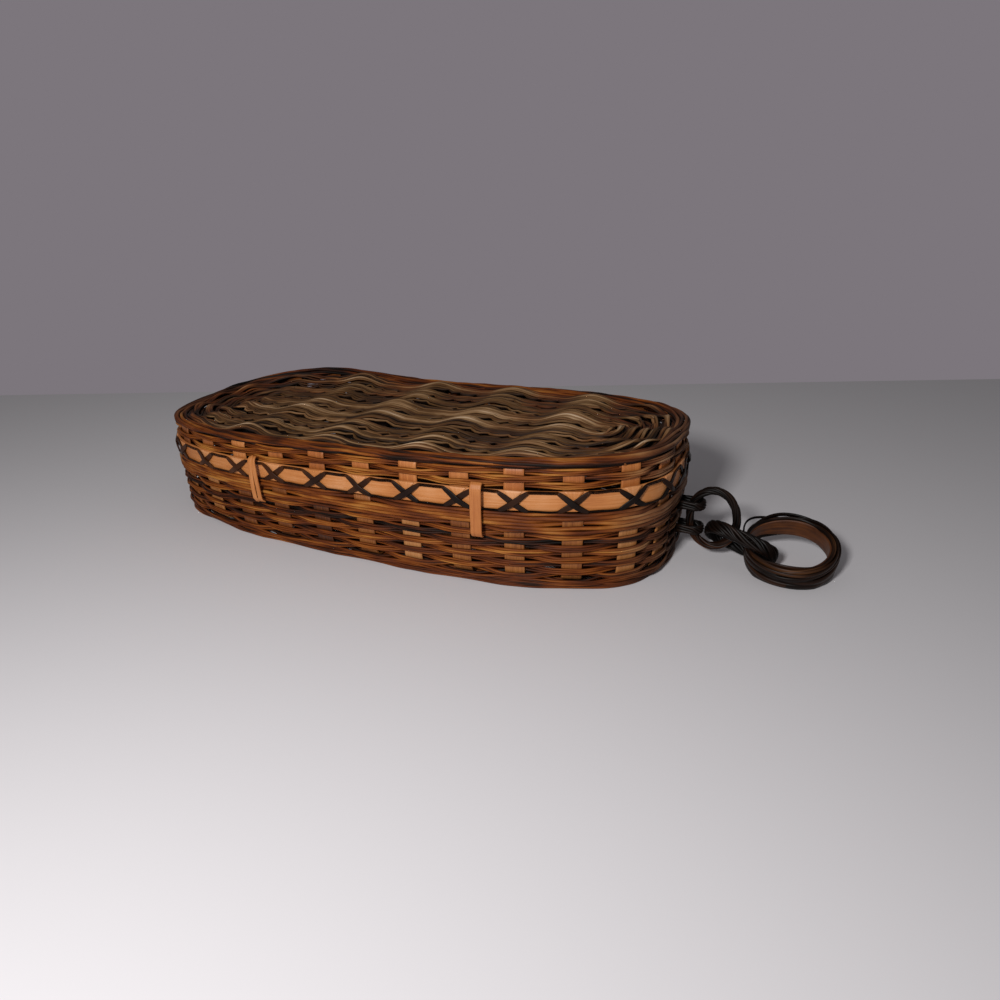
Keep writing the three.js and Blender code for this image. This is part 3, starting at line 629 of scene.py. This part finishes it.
# The woven top: turns of many strands that lie on the stakes. The edges of the turns draw in beside each
# stake, which leaves the dark gaps.
def topStrands():
    grids = []
    places = crossRuns(lid["inset"] + lid["corner"])
    turns = round((basket["halfWidth"] - topWeave["inset"]) / topWeave["pitch"] - 0.5)
    for turn in range(turns):
        outer = topWeave["inset"] + turn * topWeave["pitch"]
        inner = outer + topWeave["pitch"] - topWeave["gap"]
        if turn == turns - 1:
            inner = basket["halfWidth"] - 0.2  # the last turn closes the middle
        amount = round((inner - outer) / topWeave["strandPitch"])
        count = int(3.5 * (basket["halfLength"] + basket["halfWidth"] - 2 * outer) / strandStep)
        # Even steps of length along the middle of the turn.
        share = np.arange(count) / count
        middle = drawnIn((outer + inner) / 2, share * 2 * np.pi)
        gone = runLengths(np.vstack([middle, middle[:1]]))
        angle = np.interp(share * gone[-1], gone, np.append(share, 1) * 2 * np.pi)
        share = angle / (2 * np.pi)
        humps = np.stack([random.uniform(*topWeave["lump"], (len(places), 2)),
                          random.normal(0, topWeave["slip"], (len(places), 2)),
                          random.uniform(*topWeave["stray"], (len(places), 2))])
        turnTone = random.normal(0, 0.02)
        for strand in range(amount):
            off = 2 * (strand + 0.5) / amount - 1  # -1 at the turn's outer edge, 1 at its inner one
            inset = outer + (inner - outer) * (off + 1) / 2
            place = drawnIn(inset, angle)
            x, y = place.T
            ahead = unit(np.roll(place, -1, axis=0) - np.roll(place, 1, axis=0))
            crosswise = fadeIn(np.abs(ahead[:, 1]), 0.25, 0.3)
            onSide = 1 - crosswise
            rise, pinch = humpsAndPinches(x, (y > 0).astype(int), places, humps) * onSide
            for j, run in enumerate(longAt):
                if abs(run) < basket["halfWidth"] - inset + 2:
                    height = topWeave["endHump"][(j + len(grids) // 3) % 2]
                    rise += crosswise * height * bell(y - run, topWeave["endReach"])
            fringe = np.sign(off) * abs(off) ** 1.6  # the strands at the edges move most
            if turn == 0:
                fringe = max(fringe, -0.2)  # the outermost turn stays against the roll
            shift = waver(share, 0.2, 3, 22) * (1 + 1.3 * crosswise) - fringe * pinch * topWeave["pinch"]
            crest = rise * (1 - 0.25 * off**2)
            rounded = (0.2 + 0.35 * np.clip(rise, 0, 1)) * (1 - off**2)  # a bundle is fuller in its middle
            waves = waver(share, 0.1, 3, 24) + random.normal(0, 0.14)
            stand = topFoot(depthInside(x, y)) + topWeave["size"][1] / 2 + rounded + crest + waves
            place = place + np.stack([-ahead[:, 1], ahead[:, 0]], 1) * shift[:, None]
            crest = crest / topWeave["hump"]
            place[:, 1] += topWeave["lean"] * (crest - 0.3) * onSide
            # Crests are paler, a painted highlight, and the plain end is darker.
            ends = fadeIn(np.abs(x), 62, 22)
            plainEnd = x < 0
            tone = 0.42 + turnTone + random.normal(0, 0.14) + (0.17 + 0.36 * crosswise) * crest
            tone = tone - 0.08 * crosswise - 0.16 * ends * plainEnd + waver(share, 0.09, 3, 20)
            size = (topWeave["size"][0] * random.uniform(0.85, 1.15), topWeave["size"][1])
            # Outer strands kept their brown, and so did the ends and, between the humps, the back.
            brown = np.clip(1.1 - inset / 9, 0, 1) * (1 - 0.6 * ends) + (0.2 + 0.5 * plainEnd) * ends
            brown = brown + (0.6 * fadeIn(y, 4, 20) + 0.3 * fadeIn(x, 10, 20)) * np.clip(1 - rise / 0.9, 0, 1)
            brown = np.clip(brown + random.normal(0, 0.16) + waver(share, 0.12, 2, 9), 0, 1)
            tone = np.maximum(tone, 0.3 + waver(share, 0.1, 3, 20))
            grids.append(strandGrid(warped(raised(place, stand)), unitZ, size, tone, 1 - brown))
    return grids


makePiece("lid_top_weave", topStrands(), "bleachedOakStrand", "lid", "lid_top_mat")
print("top woven")

# Past its last shares of an oval's half sizes, a ring of the floor meets no stake.
baseWeave = {"firstInset": 8.6, "pitch": 4.6, "rings": 8, "strands": 4, "size": (1.1, 0.8), "swing": 0.95,
             "last": (0.985, 0.9)}
footTurns = {"places": ((2.3, 2.3), (2.6, 0.95)),  # (inset, height)
             "strands": 3, "size": (0.7, 0.85), "swing": 0.45}


# The basket's floor: rings of bundles that weave over and under both families of stakes.
def floorRings():
    grids = []
    wide, thick = baseWeave["size"]
    runs = crossRuns(body["inset"] + body["taper"] + body["corner"])
    for ring in range(baseWeave["rings"]):
        inset = baseWeave["firstInset"] + ring * baseWeave["pitch"]
        oval = ovalOf(basket["halfLength"] - inset, basket["halfWidth"] - inset)
        crossings, heights = [], []
        for axis, places in enumerate((runs, longAt)):
            for i, place in enumerate(places):
                if abs(place) < oval["half"][axis] * baseWeave["last"][axis]:
                    for side in (-1, 1):
                        sign = 1 if (i + ring + (side > 0)) % 2 == 0 else -1
                        crossings.append(crossing(oval, axis, place, side)[1])
                        heights.append(baseLevel + axis * stakeStep + sign * baseWeave["swing"])
        along, share, point, normal = stepsRound(oval)
        height = weaveHeight(along, oval["along"][-1], crossings, heights)
        for strand in range(baseWeave["strands"]):
            spread = offMiddle(strand, baseWeave["strands"]) * wide * 0.9 + waver(share, 0.13, 6, 34)
            rise = np.maximum(height + waver(share, 0.1, 6, 30), thick / 2 + clear)
            shade = waver(share, 0.07, 3, 20)
            size = np.array(baseWeave["size"]) * random.uniform(0.9, 1.08)
            centre = leaned(raised(point + normal * spread[:, None], rise))
            grids.append(strandGrid(centre, unitZ, size, random.normal(0.45, 0.1) + shade))
    return grids


# The floor's last turns lie outside the bends of the stakes and make the basket's foot.
def footStrands():
    grids = []
    along, share, point, normal = stepsRound()
    wide = footTurns["size"][0]
    for turn, (inset, height) in enumerate(footTurns["places"]):
        over = weaveHeight(along, perimeter, stakeAlong, passes(turn)) * footTurns["swing"]
        for strand in range(footTurns["strands"]):
            lift = offMiddle(strand, footTurns["strands"]) * wide * 0.75 + waver(share, 0.12, 8, 44)
            push = over + waver(share, 0.16, 6, 30)
            rise = np.maximum(height + lift, wide / 2 + clear)
            centre = leaned(raised(point - normal * (inset - push)[:, None], rise))
            tone = waver(share, 0.13, 3, 30) + random.normal(0.42, 0.12)
            grids.append(strandGrid(centre, raised(normal), footTurns["size"], tone, worn(centre)))
    return grids


makePiece("base_weave", floorRings() + footStrands(), "oakStrand", "basket", "base_mat")

# The edge of the lid: strands that lie round an oval core and turn slowly about it. A thick one under them
# closes the slit above the wall's last row.
edgeRoll = {"inset": 3.3, "strands": 8, "size": (1.3, 1.15), "reach": (1.9, 0.7), "twist": 3,
            "core": (2.4, 1.9), "coreAt": 37.5}
along, share, point, normal = stepsRound()
grids = []
for strand in range(edgeRoll["strands"]):
    angle = 2 * np.pi * (strand / edgeRoll["strands"] + edgeRoll["twist"] * share) + waver(share, 0.12, 4, 24)
    inset = edgeRoll["inset"] + edgeRoll["reach"][0] * np.cos(angle)
    height = lid["roll"] + edgeRoll["reach"][1] * np.sin(angle) + waver(share, 0.16, 12, 40)
    centre = warped(raised(point - normal * inset[:, None], height))
    farCorner = fadeIn(-centre[:, 0], 30, 50) * fadeIn(centre[:, 1], -30, 30)
    tone = waver(share, 0.12, 3, 24) - 0.22 * farCorner + random.normal(0.58, 0.14)
    grids.append(strandGrid(centre, unitZ, edgeRoll["size"], tone, worn(centre)))
centre = warped(raised(point - normal * edgeRoll["inset"], edgeRoll["coreAt"]))
grids.append(strandGrid(centre, unitZ, edgeRoll["core"], 0.3, worn(centre)))
makePiece("lid_edge_strands", grids, "oakStrand", "lid", "lid_edge_roll")

# The band: one wide splint round the lid's foot, darker toward the plain end.
band = {"height": 6.4, "inset": 1.0, "thickness": 0.9, "tone": 0.62, "plainEndTone": 0.46}
bandInset = band["inset"] + band["thickness"] / 2
centre = warped(raised(point - normal * bandInset, lid["edge"] + band["height"] / 2))
tone = band["tone"] + (band["plainEndTone"] - band["tone"]) * fadeIn(-centre[:, 0], 20, 60)
grid = splintGrid(centre, -unitZ, raised(normal), band["height"], band["thickness"], tone)
makePiece("lid_band_splint", [grid], "cleanOakSplint", "lid", "lid_band")
print("lid woven")

# Widths of the lacing are on its slanting legs, at the band's top and at its foot.
lacing = {"leg": 1.95, "top": 1.0, "foot": 0.7, "thickness": 0.5, "halfSpan": 4.6, "sag": 0.5,
          "crossReach": 2.2, "step": 0.6, "tone": 0.42}
tip = {"width": 5.8, "thickness": 0.25, "tone": (0.72, 0.05), "steps": 6, "depth": 0.58}


# Lacing: each strand runs along one edge of the band, crosses over a stake to the other edge, and so on. The
# two are mirror images, and one bulges over the other where they cross.
def laceGrid(layer):
    along, share, point, normal = stepsRound(outline, lacing["step"])
    at = np.concatenate([[stakeAlong[-1] - perimeter], stakeAlong, [stakeAlong[0] + perimeter]])
    nearest = np.argmin(np.abs(along[:, None] - at), axis=1)
    away = along - at[nearest]
    over = fadeIn(away, -lacing["halfSpan"], 2 * lacing["halfSpan"])
    ease = smooth(over) * 0.25 + over * 0.75
    startsLow = (nearest - 1 + layer) % 2 == 0
    rise = np.where(startsLow, ease, 1 - ease)
    leg = np.clip(4 * rise * (1 - rise), 0, 1) ** 0.5
    width = lacing["foot"] + (lacing["top"] - lacing["foot"]) * rise
    width = width + (lacing["leg"] - width) * leg
    low = lid["edge"] + lacing["foot"] * 0.5
    high = lid["edge"] + band["height"] - lacing["top"] * 0.4
    height = low + (high - low) * rise - lacing["sag"] * leg + waver(share, 0.07, 20, 80)
    bulge = layer * (lacing["thickness"] + 0.08) * bell(away, lacing["crossReach"])
    stand = band["inset"] - lacing["thickness"] / 2 - tip["thickness"] * 0.8 - bulge
    centre = warped(raised(point - normal * stand[:, None], height))
    frames = squared(centre, raised(normal))
    points, tones, girth, _ = splintGrid(centre, *frames, width, lacing["thickness"], lacing["tone"])
    # Its dark has worn off on the top edge and toward the plain end.
    bare = 0.55 * np.clip(0.4 - centre[:, 0] / 90, 0, 1) + 0.35 * rise * (1 - leg) + waver(share, 0.12, 5, 40)
    return points, tones, girth, np.clip(bare, 0, 0.8)


for layer, name in enumerate(("lacing_a", "lacing_b")):
    makePiece(f"{name}_strand", [laceGrid(layer)], "barkStrand", "lid", name)

# The tips of the lid's stakes show as small triangles above each crossing.
grids = []
bandTop = lid["edge"] + band["height"]
for at in stakeAlong:
    point, normal = onOval(np.full(tip["steps"], at))
    height = np.linspace(bandTop - 0.1, bandTop - tip["depth"] * band["height"], tip["steps"])
    centre = warped(raised(point - normal * (band["inset"] - tip["thickness"] / 2), height))
    tangent = np.stack([-normal[:, 1], normal[:, 0]], 1)
    width = tip["width"] * np.linspace(1, 0.05, tip["steps"])
    tone = random.normal(*tip["tone"])
    grids.append(splintGrid(centre, raised(tangent), raised(normal), width, tip["thickness"], tone))
makePiece("lid_stake_tips", grids, "cleanOakSplint", "lid", closed=False)

# Hinge straps. They hook into the rows at both ends, and a split one shows as two narrow strips.
straps = {
    "strap_near_chain": {"x": 47.7, "width": 3.6, "slant": 0.0, "strips": [(0.0, 1.0)]},
    "strap_near_plain_end": {"x": -36.0, "width": 3.6, "slant": -1.2, "strips": [(-0.26, 0.5), (0.26, 0.46)]},
}
strapShape = {"foot": 16.4, "top": 33.1, "stand": -1.3, "hook": 1.5, "thickness": 0.6, "tone": 0.46,
              "steps": 40, "bendsFrom": 22.0, "bendsTo": 27.0}
foot, top, hook = strapShape["foot"], strapShape["top"], strapShape["hook"]
stops = [(foot, hook), (foot + 0.5, 0.7), (foot + hook, 0.1), (21, 0.0), (24.5, -0.1), (28, 0.0),
         (top - hook, 0.1), (top - 0.5, 0.7), (top, hook)]  # (height, distance inward)
fine = np.linspace(0, 1, strapShape["steps"])
height, inward = (np.interp(fine, np.linspace(0, 1, len(stops)), values) for values in zip(*stops))
for name, strap in straps.items():
    y, at = crossing(outline, 0, strap["x"], -1)
    grids = []
    for shift, widthShare in strap["strips"]:
        sway = shift * strap["width"] * (1 + 0.25 * np.sin(fine * 5)) + strap["slant"] * (fine - 0.5)
        point, normal = onOval(at + sway)
        centre = leaned(raised(point - normal * (strapShape["stand"] + inward)[:, None], height))
        grids.append(splintGrid(centre, *squared(centre, raised(normal), False), strap["width"] * widthShare,
                                strapShape["thickness"], strapShape["tone"]))
    piece = meshFrom(f"{name}_splint", grids, "cleanOakSplint", False)
    start, end = (leaned(np.array([strap["x"], y, strapShape[key]])) / 1000
                  for key in ("bendsFrom", "bendsTo"))
    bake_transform(piece)
    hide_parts(name)
print("band, lacing and straps made")


# Strands that lie round a loop's core and turn about it.
def loopStrands(centre, hint, loop, fadeAndShade=0.0, closed=True):
    grids = []
    share = np.arange(len(centre)) / len(centre)
    across, out = squared(centre, hint, closed)
    for strand in range(loop["strands"]):
        angle = 2 * np.pi * (strand / loop["strands"] + loop["twist"] * share)
        if closed:
            angle = angle + waver(share, 0.22, 2, 7)
        sideways, outward = loop["reach"][0] * np.cos(angle), loop["reach"][1] * np.sin(angle)
        path = centre + across * sideways[:, None] + out * outward[:, None]
        shade = waver(share, 0.1, 1, 7)
        size = (loop["size"] * random.uniform(0.8, 1.15), loop["size"])
        grids.append(strandGrid(path, out, size, random.normal(loop["tone"], 0.12) + shade, fadeAndShade, closed))
    return grids


# Ring: an upright oval in the plane y = const. The dark has worn off its lower half.
ring = {"centre": (110.0, 2.0, 14.7), "half": (7.5, 9.7), "strands": 7, "size": 1.18, "reach": (0.8, 0.8),
        "twist": 2, "tone": 0.36, "steps": 120}
turn = np.arange(ring["steps"]) / ring["steps"] * 2 * np.pi
centreX, centreY, centreZ = ring["centre"]
halfX, halfZ = ring["half"]
path = ring["centre"] + halfX * np.cos(turn)[:, None] * unitX + halfZ * np.sin(turn)[:, None] * unitZ
hint = (path - ring["centre"]) / [halfX**2, 1, halfZ**2]
bare = 0.9 * np.clip(-np.sin(turn) * 2.2 - 0.4, 0, 1)
makePiece("ring_strands", loopStrands(path, hint, ring, bare), "barkStrand", "ring", "ring")


# Distance of the ring's wire from its centre along X, at a height.
def ringX(height):
    return halfX * math.cos(math.asin((height - centreZ) / halfZ))


# Ears: loops of strand that come out of the wall round the ring and go back in.
earHeights = {"ear_upper": 19.0, "ear_lower": 10.6}
ear = {"strands": 6, "size": 1.1, "half": 2.55, "from": 98.6, "wall": 101.0, "middle": 1.0,
       "reach": (1.05, 0.2), "twist": 1.2, "tone": 0.2}
bend = np.linspace(-0.5, 0.5, 16) * np.pi
for name, height in earHeights.items():
    middle = centreX - ringX(height) + ear["middle"]
    x = [ear["from"], ear["wall"], *(middle + ear["half"] * np.cos(bend)), ear["wall"], ear["from"]]
    y = centreY + ear["half"] * np.array([-1, -1, *np.sin(bend), 1, 1])
    path = np.stack([x, y, np.full(len(x), height)], 1)
    grids = loopStrands(path, path - [middle - 2, centreY, height], ear, closed=False)
    makePiece(f"{name}_strands", grids, "barkStrand", "basket", name, closed=False)

# Link: a racetrack of straight sides and half circles, in a plane that slopes down from the ring. Its strands
# fill its band and its thickness.
link = {"length": 25.0, "band": 5.2, "thickness": 2.6, "hole": 9.0, "slope": 18.0, "lean": 50.0,
        "takesRing": 9.0, "overlap": 3.6, "strands": 11, "size": 1.12, "twist": 3, "tone": 0.32}
link["reach"] = (link["band"] / 2 - 0.8, link["thickness"] / 2 - 0.75)
slope, lean = math.radians(link["slope"]), math.radians(link["lean"])
takesRing = np.array([centreX + ringX(link["takesRing"]), centreY, link["takesRing"]])
linkWay = math.cos(slope) * unitX - math.sin(slope) * unitZ
linkSide = math.sin(lean) * unitY - math.cos(lean) * np.cross(linkWay, unitY)
linkCentre = takesRing + linkWay * link["overlap"]
bow = (link["hole"] + link["thickness"]) / 2
straightHalf = (link["length"] - link["thickness"]) / 2 - bow
bend = np.linspace(-0.5, 0.5, 24) * np.pi
side = np.linspace(-1, 1, 12)[1:-1] * straightHalf
along = np.concatenate([straightHalf + bow * np.cos(bend), -side, -straightHalf - bow * np.cos(bend), side])
aside = bow * np.concatenate([np.sin(bend), np.ones(len(side)), -np.sin(bend), -np.ones(len(side))])
path = linkCentre + along[:, None] * linkWay + aside[:, None] * linkSide
core = linkCentre + np.clip(along, -straightHalf, straightHalf)[:, None] * linkWay
makePiece("link_strands", loopStrands(path, path - core, link), "barkStrand", "link", "link")

# Hoop: a wide splint inside and layers of dark strands wound round it, tilted with its far side up. It is
# pressed thin where the link holds it, and one turn has sprung away at the far side.
hoop = {"radius": 13.7, "tilt": 16.4, "beyond": 1.6, "overlap": 1.6, "height": 5.95, "thickness": 1.5,
        "strands": 5, "layers": 5, "layerStep": 0.56, "wide": 6.2, "inner": 1.9, "pressed": 0.85,
        "pressedOver": 0.95, "sprungAt": 150.0, "sprungOver": 0.42, "sprungOut": 2.8, "sprungUp": 1.2,
        "steps": 150}
tilt = math.radians(hoop["tilt"])
hoopBack = math.cos(tilt) * unitY + math.sin(tilt) * unitZ
hoopAxis = math.cos(tilt) * unitZ - math.sin(tilt) * unitY
hoopOuter = hoop["radius"] + hoop["thickness"] / 2
hoopRise = hoopOuter * math.sin(tilt) + hoop["height"] / 2 * math.cos(tilt) + clear
hoopX = (linkCentre + linkWay * hoop["overlap"])[0] + math.sqrt(hoop["radius"] ** 2 - hoop["beyond"] ** 2)
hoopCentre = np.array([hoopX, centreY + hoop["beyond"], hoopRise])
share = np.arange(hoop["steps"]) / hoop["steps"]
turn = share * 2 * np.pi
outward = np.cos(turn)[:, None] * unitX + np.sin(turn)[:, None] * hoopBack
spread = 1 - hoop["pressed"] * np.exp(-(((turn - np.pi) / hoop["pressedOver"]) ** 4))


# Path round the hoop, some way out from its radius and up along its axis.
def roundHoop(reach, lift):
    return hoopCentre + outward * (hoop["radius"] + reach)[:, None] + hoopAxis * lift[:, None]


path = roundHoop(-(hoop["inner"] + 0.2) * spread, 0 * share)
grid = splintGrid(path, -hoopAxis, outward, hoop["wide"] * (0.6 + 0.4 * spread), 0.6, 0.5)
makePiece("hoop_splint", [grid], "wornOakSplint", "hoop")
grids = []
for layer in range(hoop["layers"]):
    for strand in range(hoop["strands"]):
        lift = (strand / (hoop["strands"] - 1) - 0.5) * (hoop["height"] - 0.8) + waver(share, 0.8, 1, 4)
        layerReach = hoop["layerStep"] * layer - hoop["inner"] + waver(share, 0.22, 1, 5)
        path = roundHoop(0.1 + layerReach * spread, lift)
        size = (random.uniform(1.3, 2.4), 0.6)
        path[:, 2] = np.maximum(path[:, 2], size[0] / 2 + 0.1)
        shade = waver(share, 0.15, 1, 6)
        grids.append(strandGrid(path, outward, size, random.normal(0.5, 0.18) + shade))
away = (turn - math.radians(hoop["sprungAt"]) + np.pi) % (2 * np.pi) - np.pi
sprung = bell(away, hoop["sprungOver"])
path = roundHoop(0.1 + hoop["sprungOut"] * sprung, hoop["height"] / 2 - 1 + hoop["sprungUp"] * sprung)
grids.append(strandGrid(path, outward, (0.9, 0.6), 0.4))
makePiece("hoop_strands", grids, "barkStrand", "hoop", "hoop")
print("chain made")


# An object with its own X, Y and Z along right, up and back, at a place in metres.
def placed(name, data, right, up, back, at):
    item = bpy.data.objects.new(name, data)
    item.matrix_world = Matrix([[right[k], up[k], back[k], at[k]] for k in range(3)] + [[0, 0, 0, 1]])
    bpy.context.scene.collection.objects.link(item)
    return item


# Camera at the photograph's place and angle. Its focal length is in pixels.
camera = {"at": (142.545, -230.839, 116.772), "yaw": -0.4374, "down": 0.3975, "roll": -0.0163,
          "focal": 758.63, "pixels": 1000, "sensor": 36.0}
yaw, down, roll = camera["yaw"], camera["down"], camera["roll"]
toWall = math.sin(yaw) * unitX + math.cos(yaw) * unitY
rightWay = math.cos(yaw) * unitX - math.sin(yaw) * unitY
look = math.cos(down) * toWall - math.sin(down) * unitZ
upWay = np.cross(rightWay, look)
view = bpy.data.cameras.new("camera")
view.sensor_width = camera["sensor"]
view.lens = camera["focal"] * camera["sensor"] / camera["pixels"]
view.clip_start = 0.01
bpy.context.scene.camera = placed("camera", view, rightWay * math.cos(roll) + upWay * math.sin(roll),
                                  upWay * math.cos(roll) - rightWay * math.sin(roll), -look,
                                  np.array(camera["at"]) / 1000)
bpy.context.scene.view_settings.view_transform = "Standard"

# A plain pale floor that ends where the photograph's wall begins, with the world's plain colour behind it. A
# soft light fills all round, and the key lamp stands beside the camera, with its places and size in metres.
studio = {"wallAway": 457.7, "wide": 3000.0, "floor": "#E6E2E4", "wall": "#7C767C", "soft": "#F4F2F6",
          "softStrength": 0.14}
key = {"at": (0.075, -0.36, 0.22), "to": (0.02, 0.0, 0.0), "size": 0.05, "watts": 1.1}
wallFoot = np.array([*camera["at"][:2], 0.0]) + toWall * studio["wallAway"]
wide = rightWay * studio["wide"]
near = wallFoot - toWall * studio["wide"]
sheet = bpy.data.meshes.new("floor")
corners = [near - wide, near + wide, wallFoot + wide, wallFoot - wide]
sheet.from_pydata([tuple(corner / 1000) for corner in corners], [], [(0, 1, 2, 3)])
paper = bpy.data.materials.new("floor")
paper.use_nodes = True
shader = paper.node_tree.nodes["Principled BSDF"]
shader.inputs["Base Color"].default_value = toLinear(studio["floor"])
shader.inputs["Roughness"].default_value = 0.9
sheet.materials.append(paper)
floor = bpy.data.objects.new("floor", sheet)
bpy.context.scene.collection.objects.link(floor)

world = bpy.data.worlds.new("studio")
world.use_nodes = True
tree = world.node_tree
soft = tree.nodes["Background"]
soft.inputs["Color"].default_value = toLinear(studio["soft"])
soft.inputs["Strength"].default_value = studio["softStrength"]
seen = addNode(tree, "Background", values={"Color": toLinear(studio["wall"]), "Strength": 1.0})
cameraRay = addNode(tree, "LightPath").outputs["Is Camera Ray"]
mix = addNode(tree, "MixShader", links={0: cameraRay, 1: soft.outputs[0], 2: seen.outputs[0]})
tree.links.new(mix.outputs[0], tree.nodes["World Output"].inputs["Surface"])
bpy.context.scene.world = world

lamp = bpy.data.lights.new("key", "AREA")
lamp.size = key["size"]
lamp.energy = key["watts"]
toward = unit(np.subtract(key["to"], key["at"]))
sideways = unit(np.cross(toward, unitZ))
placed("key", lamp, sideways, np.cross(sideways, toward), -toward, key["at"])
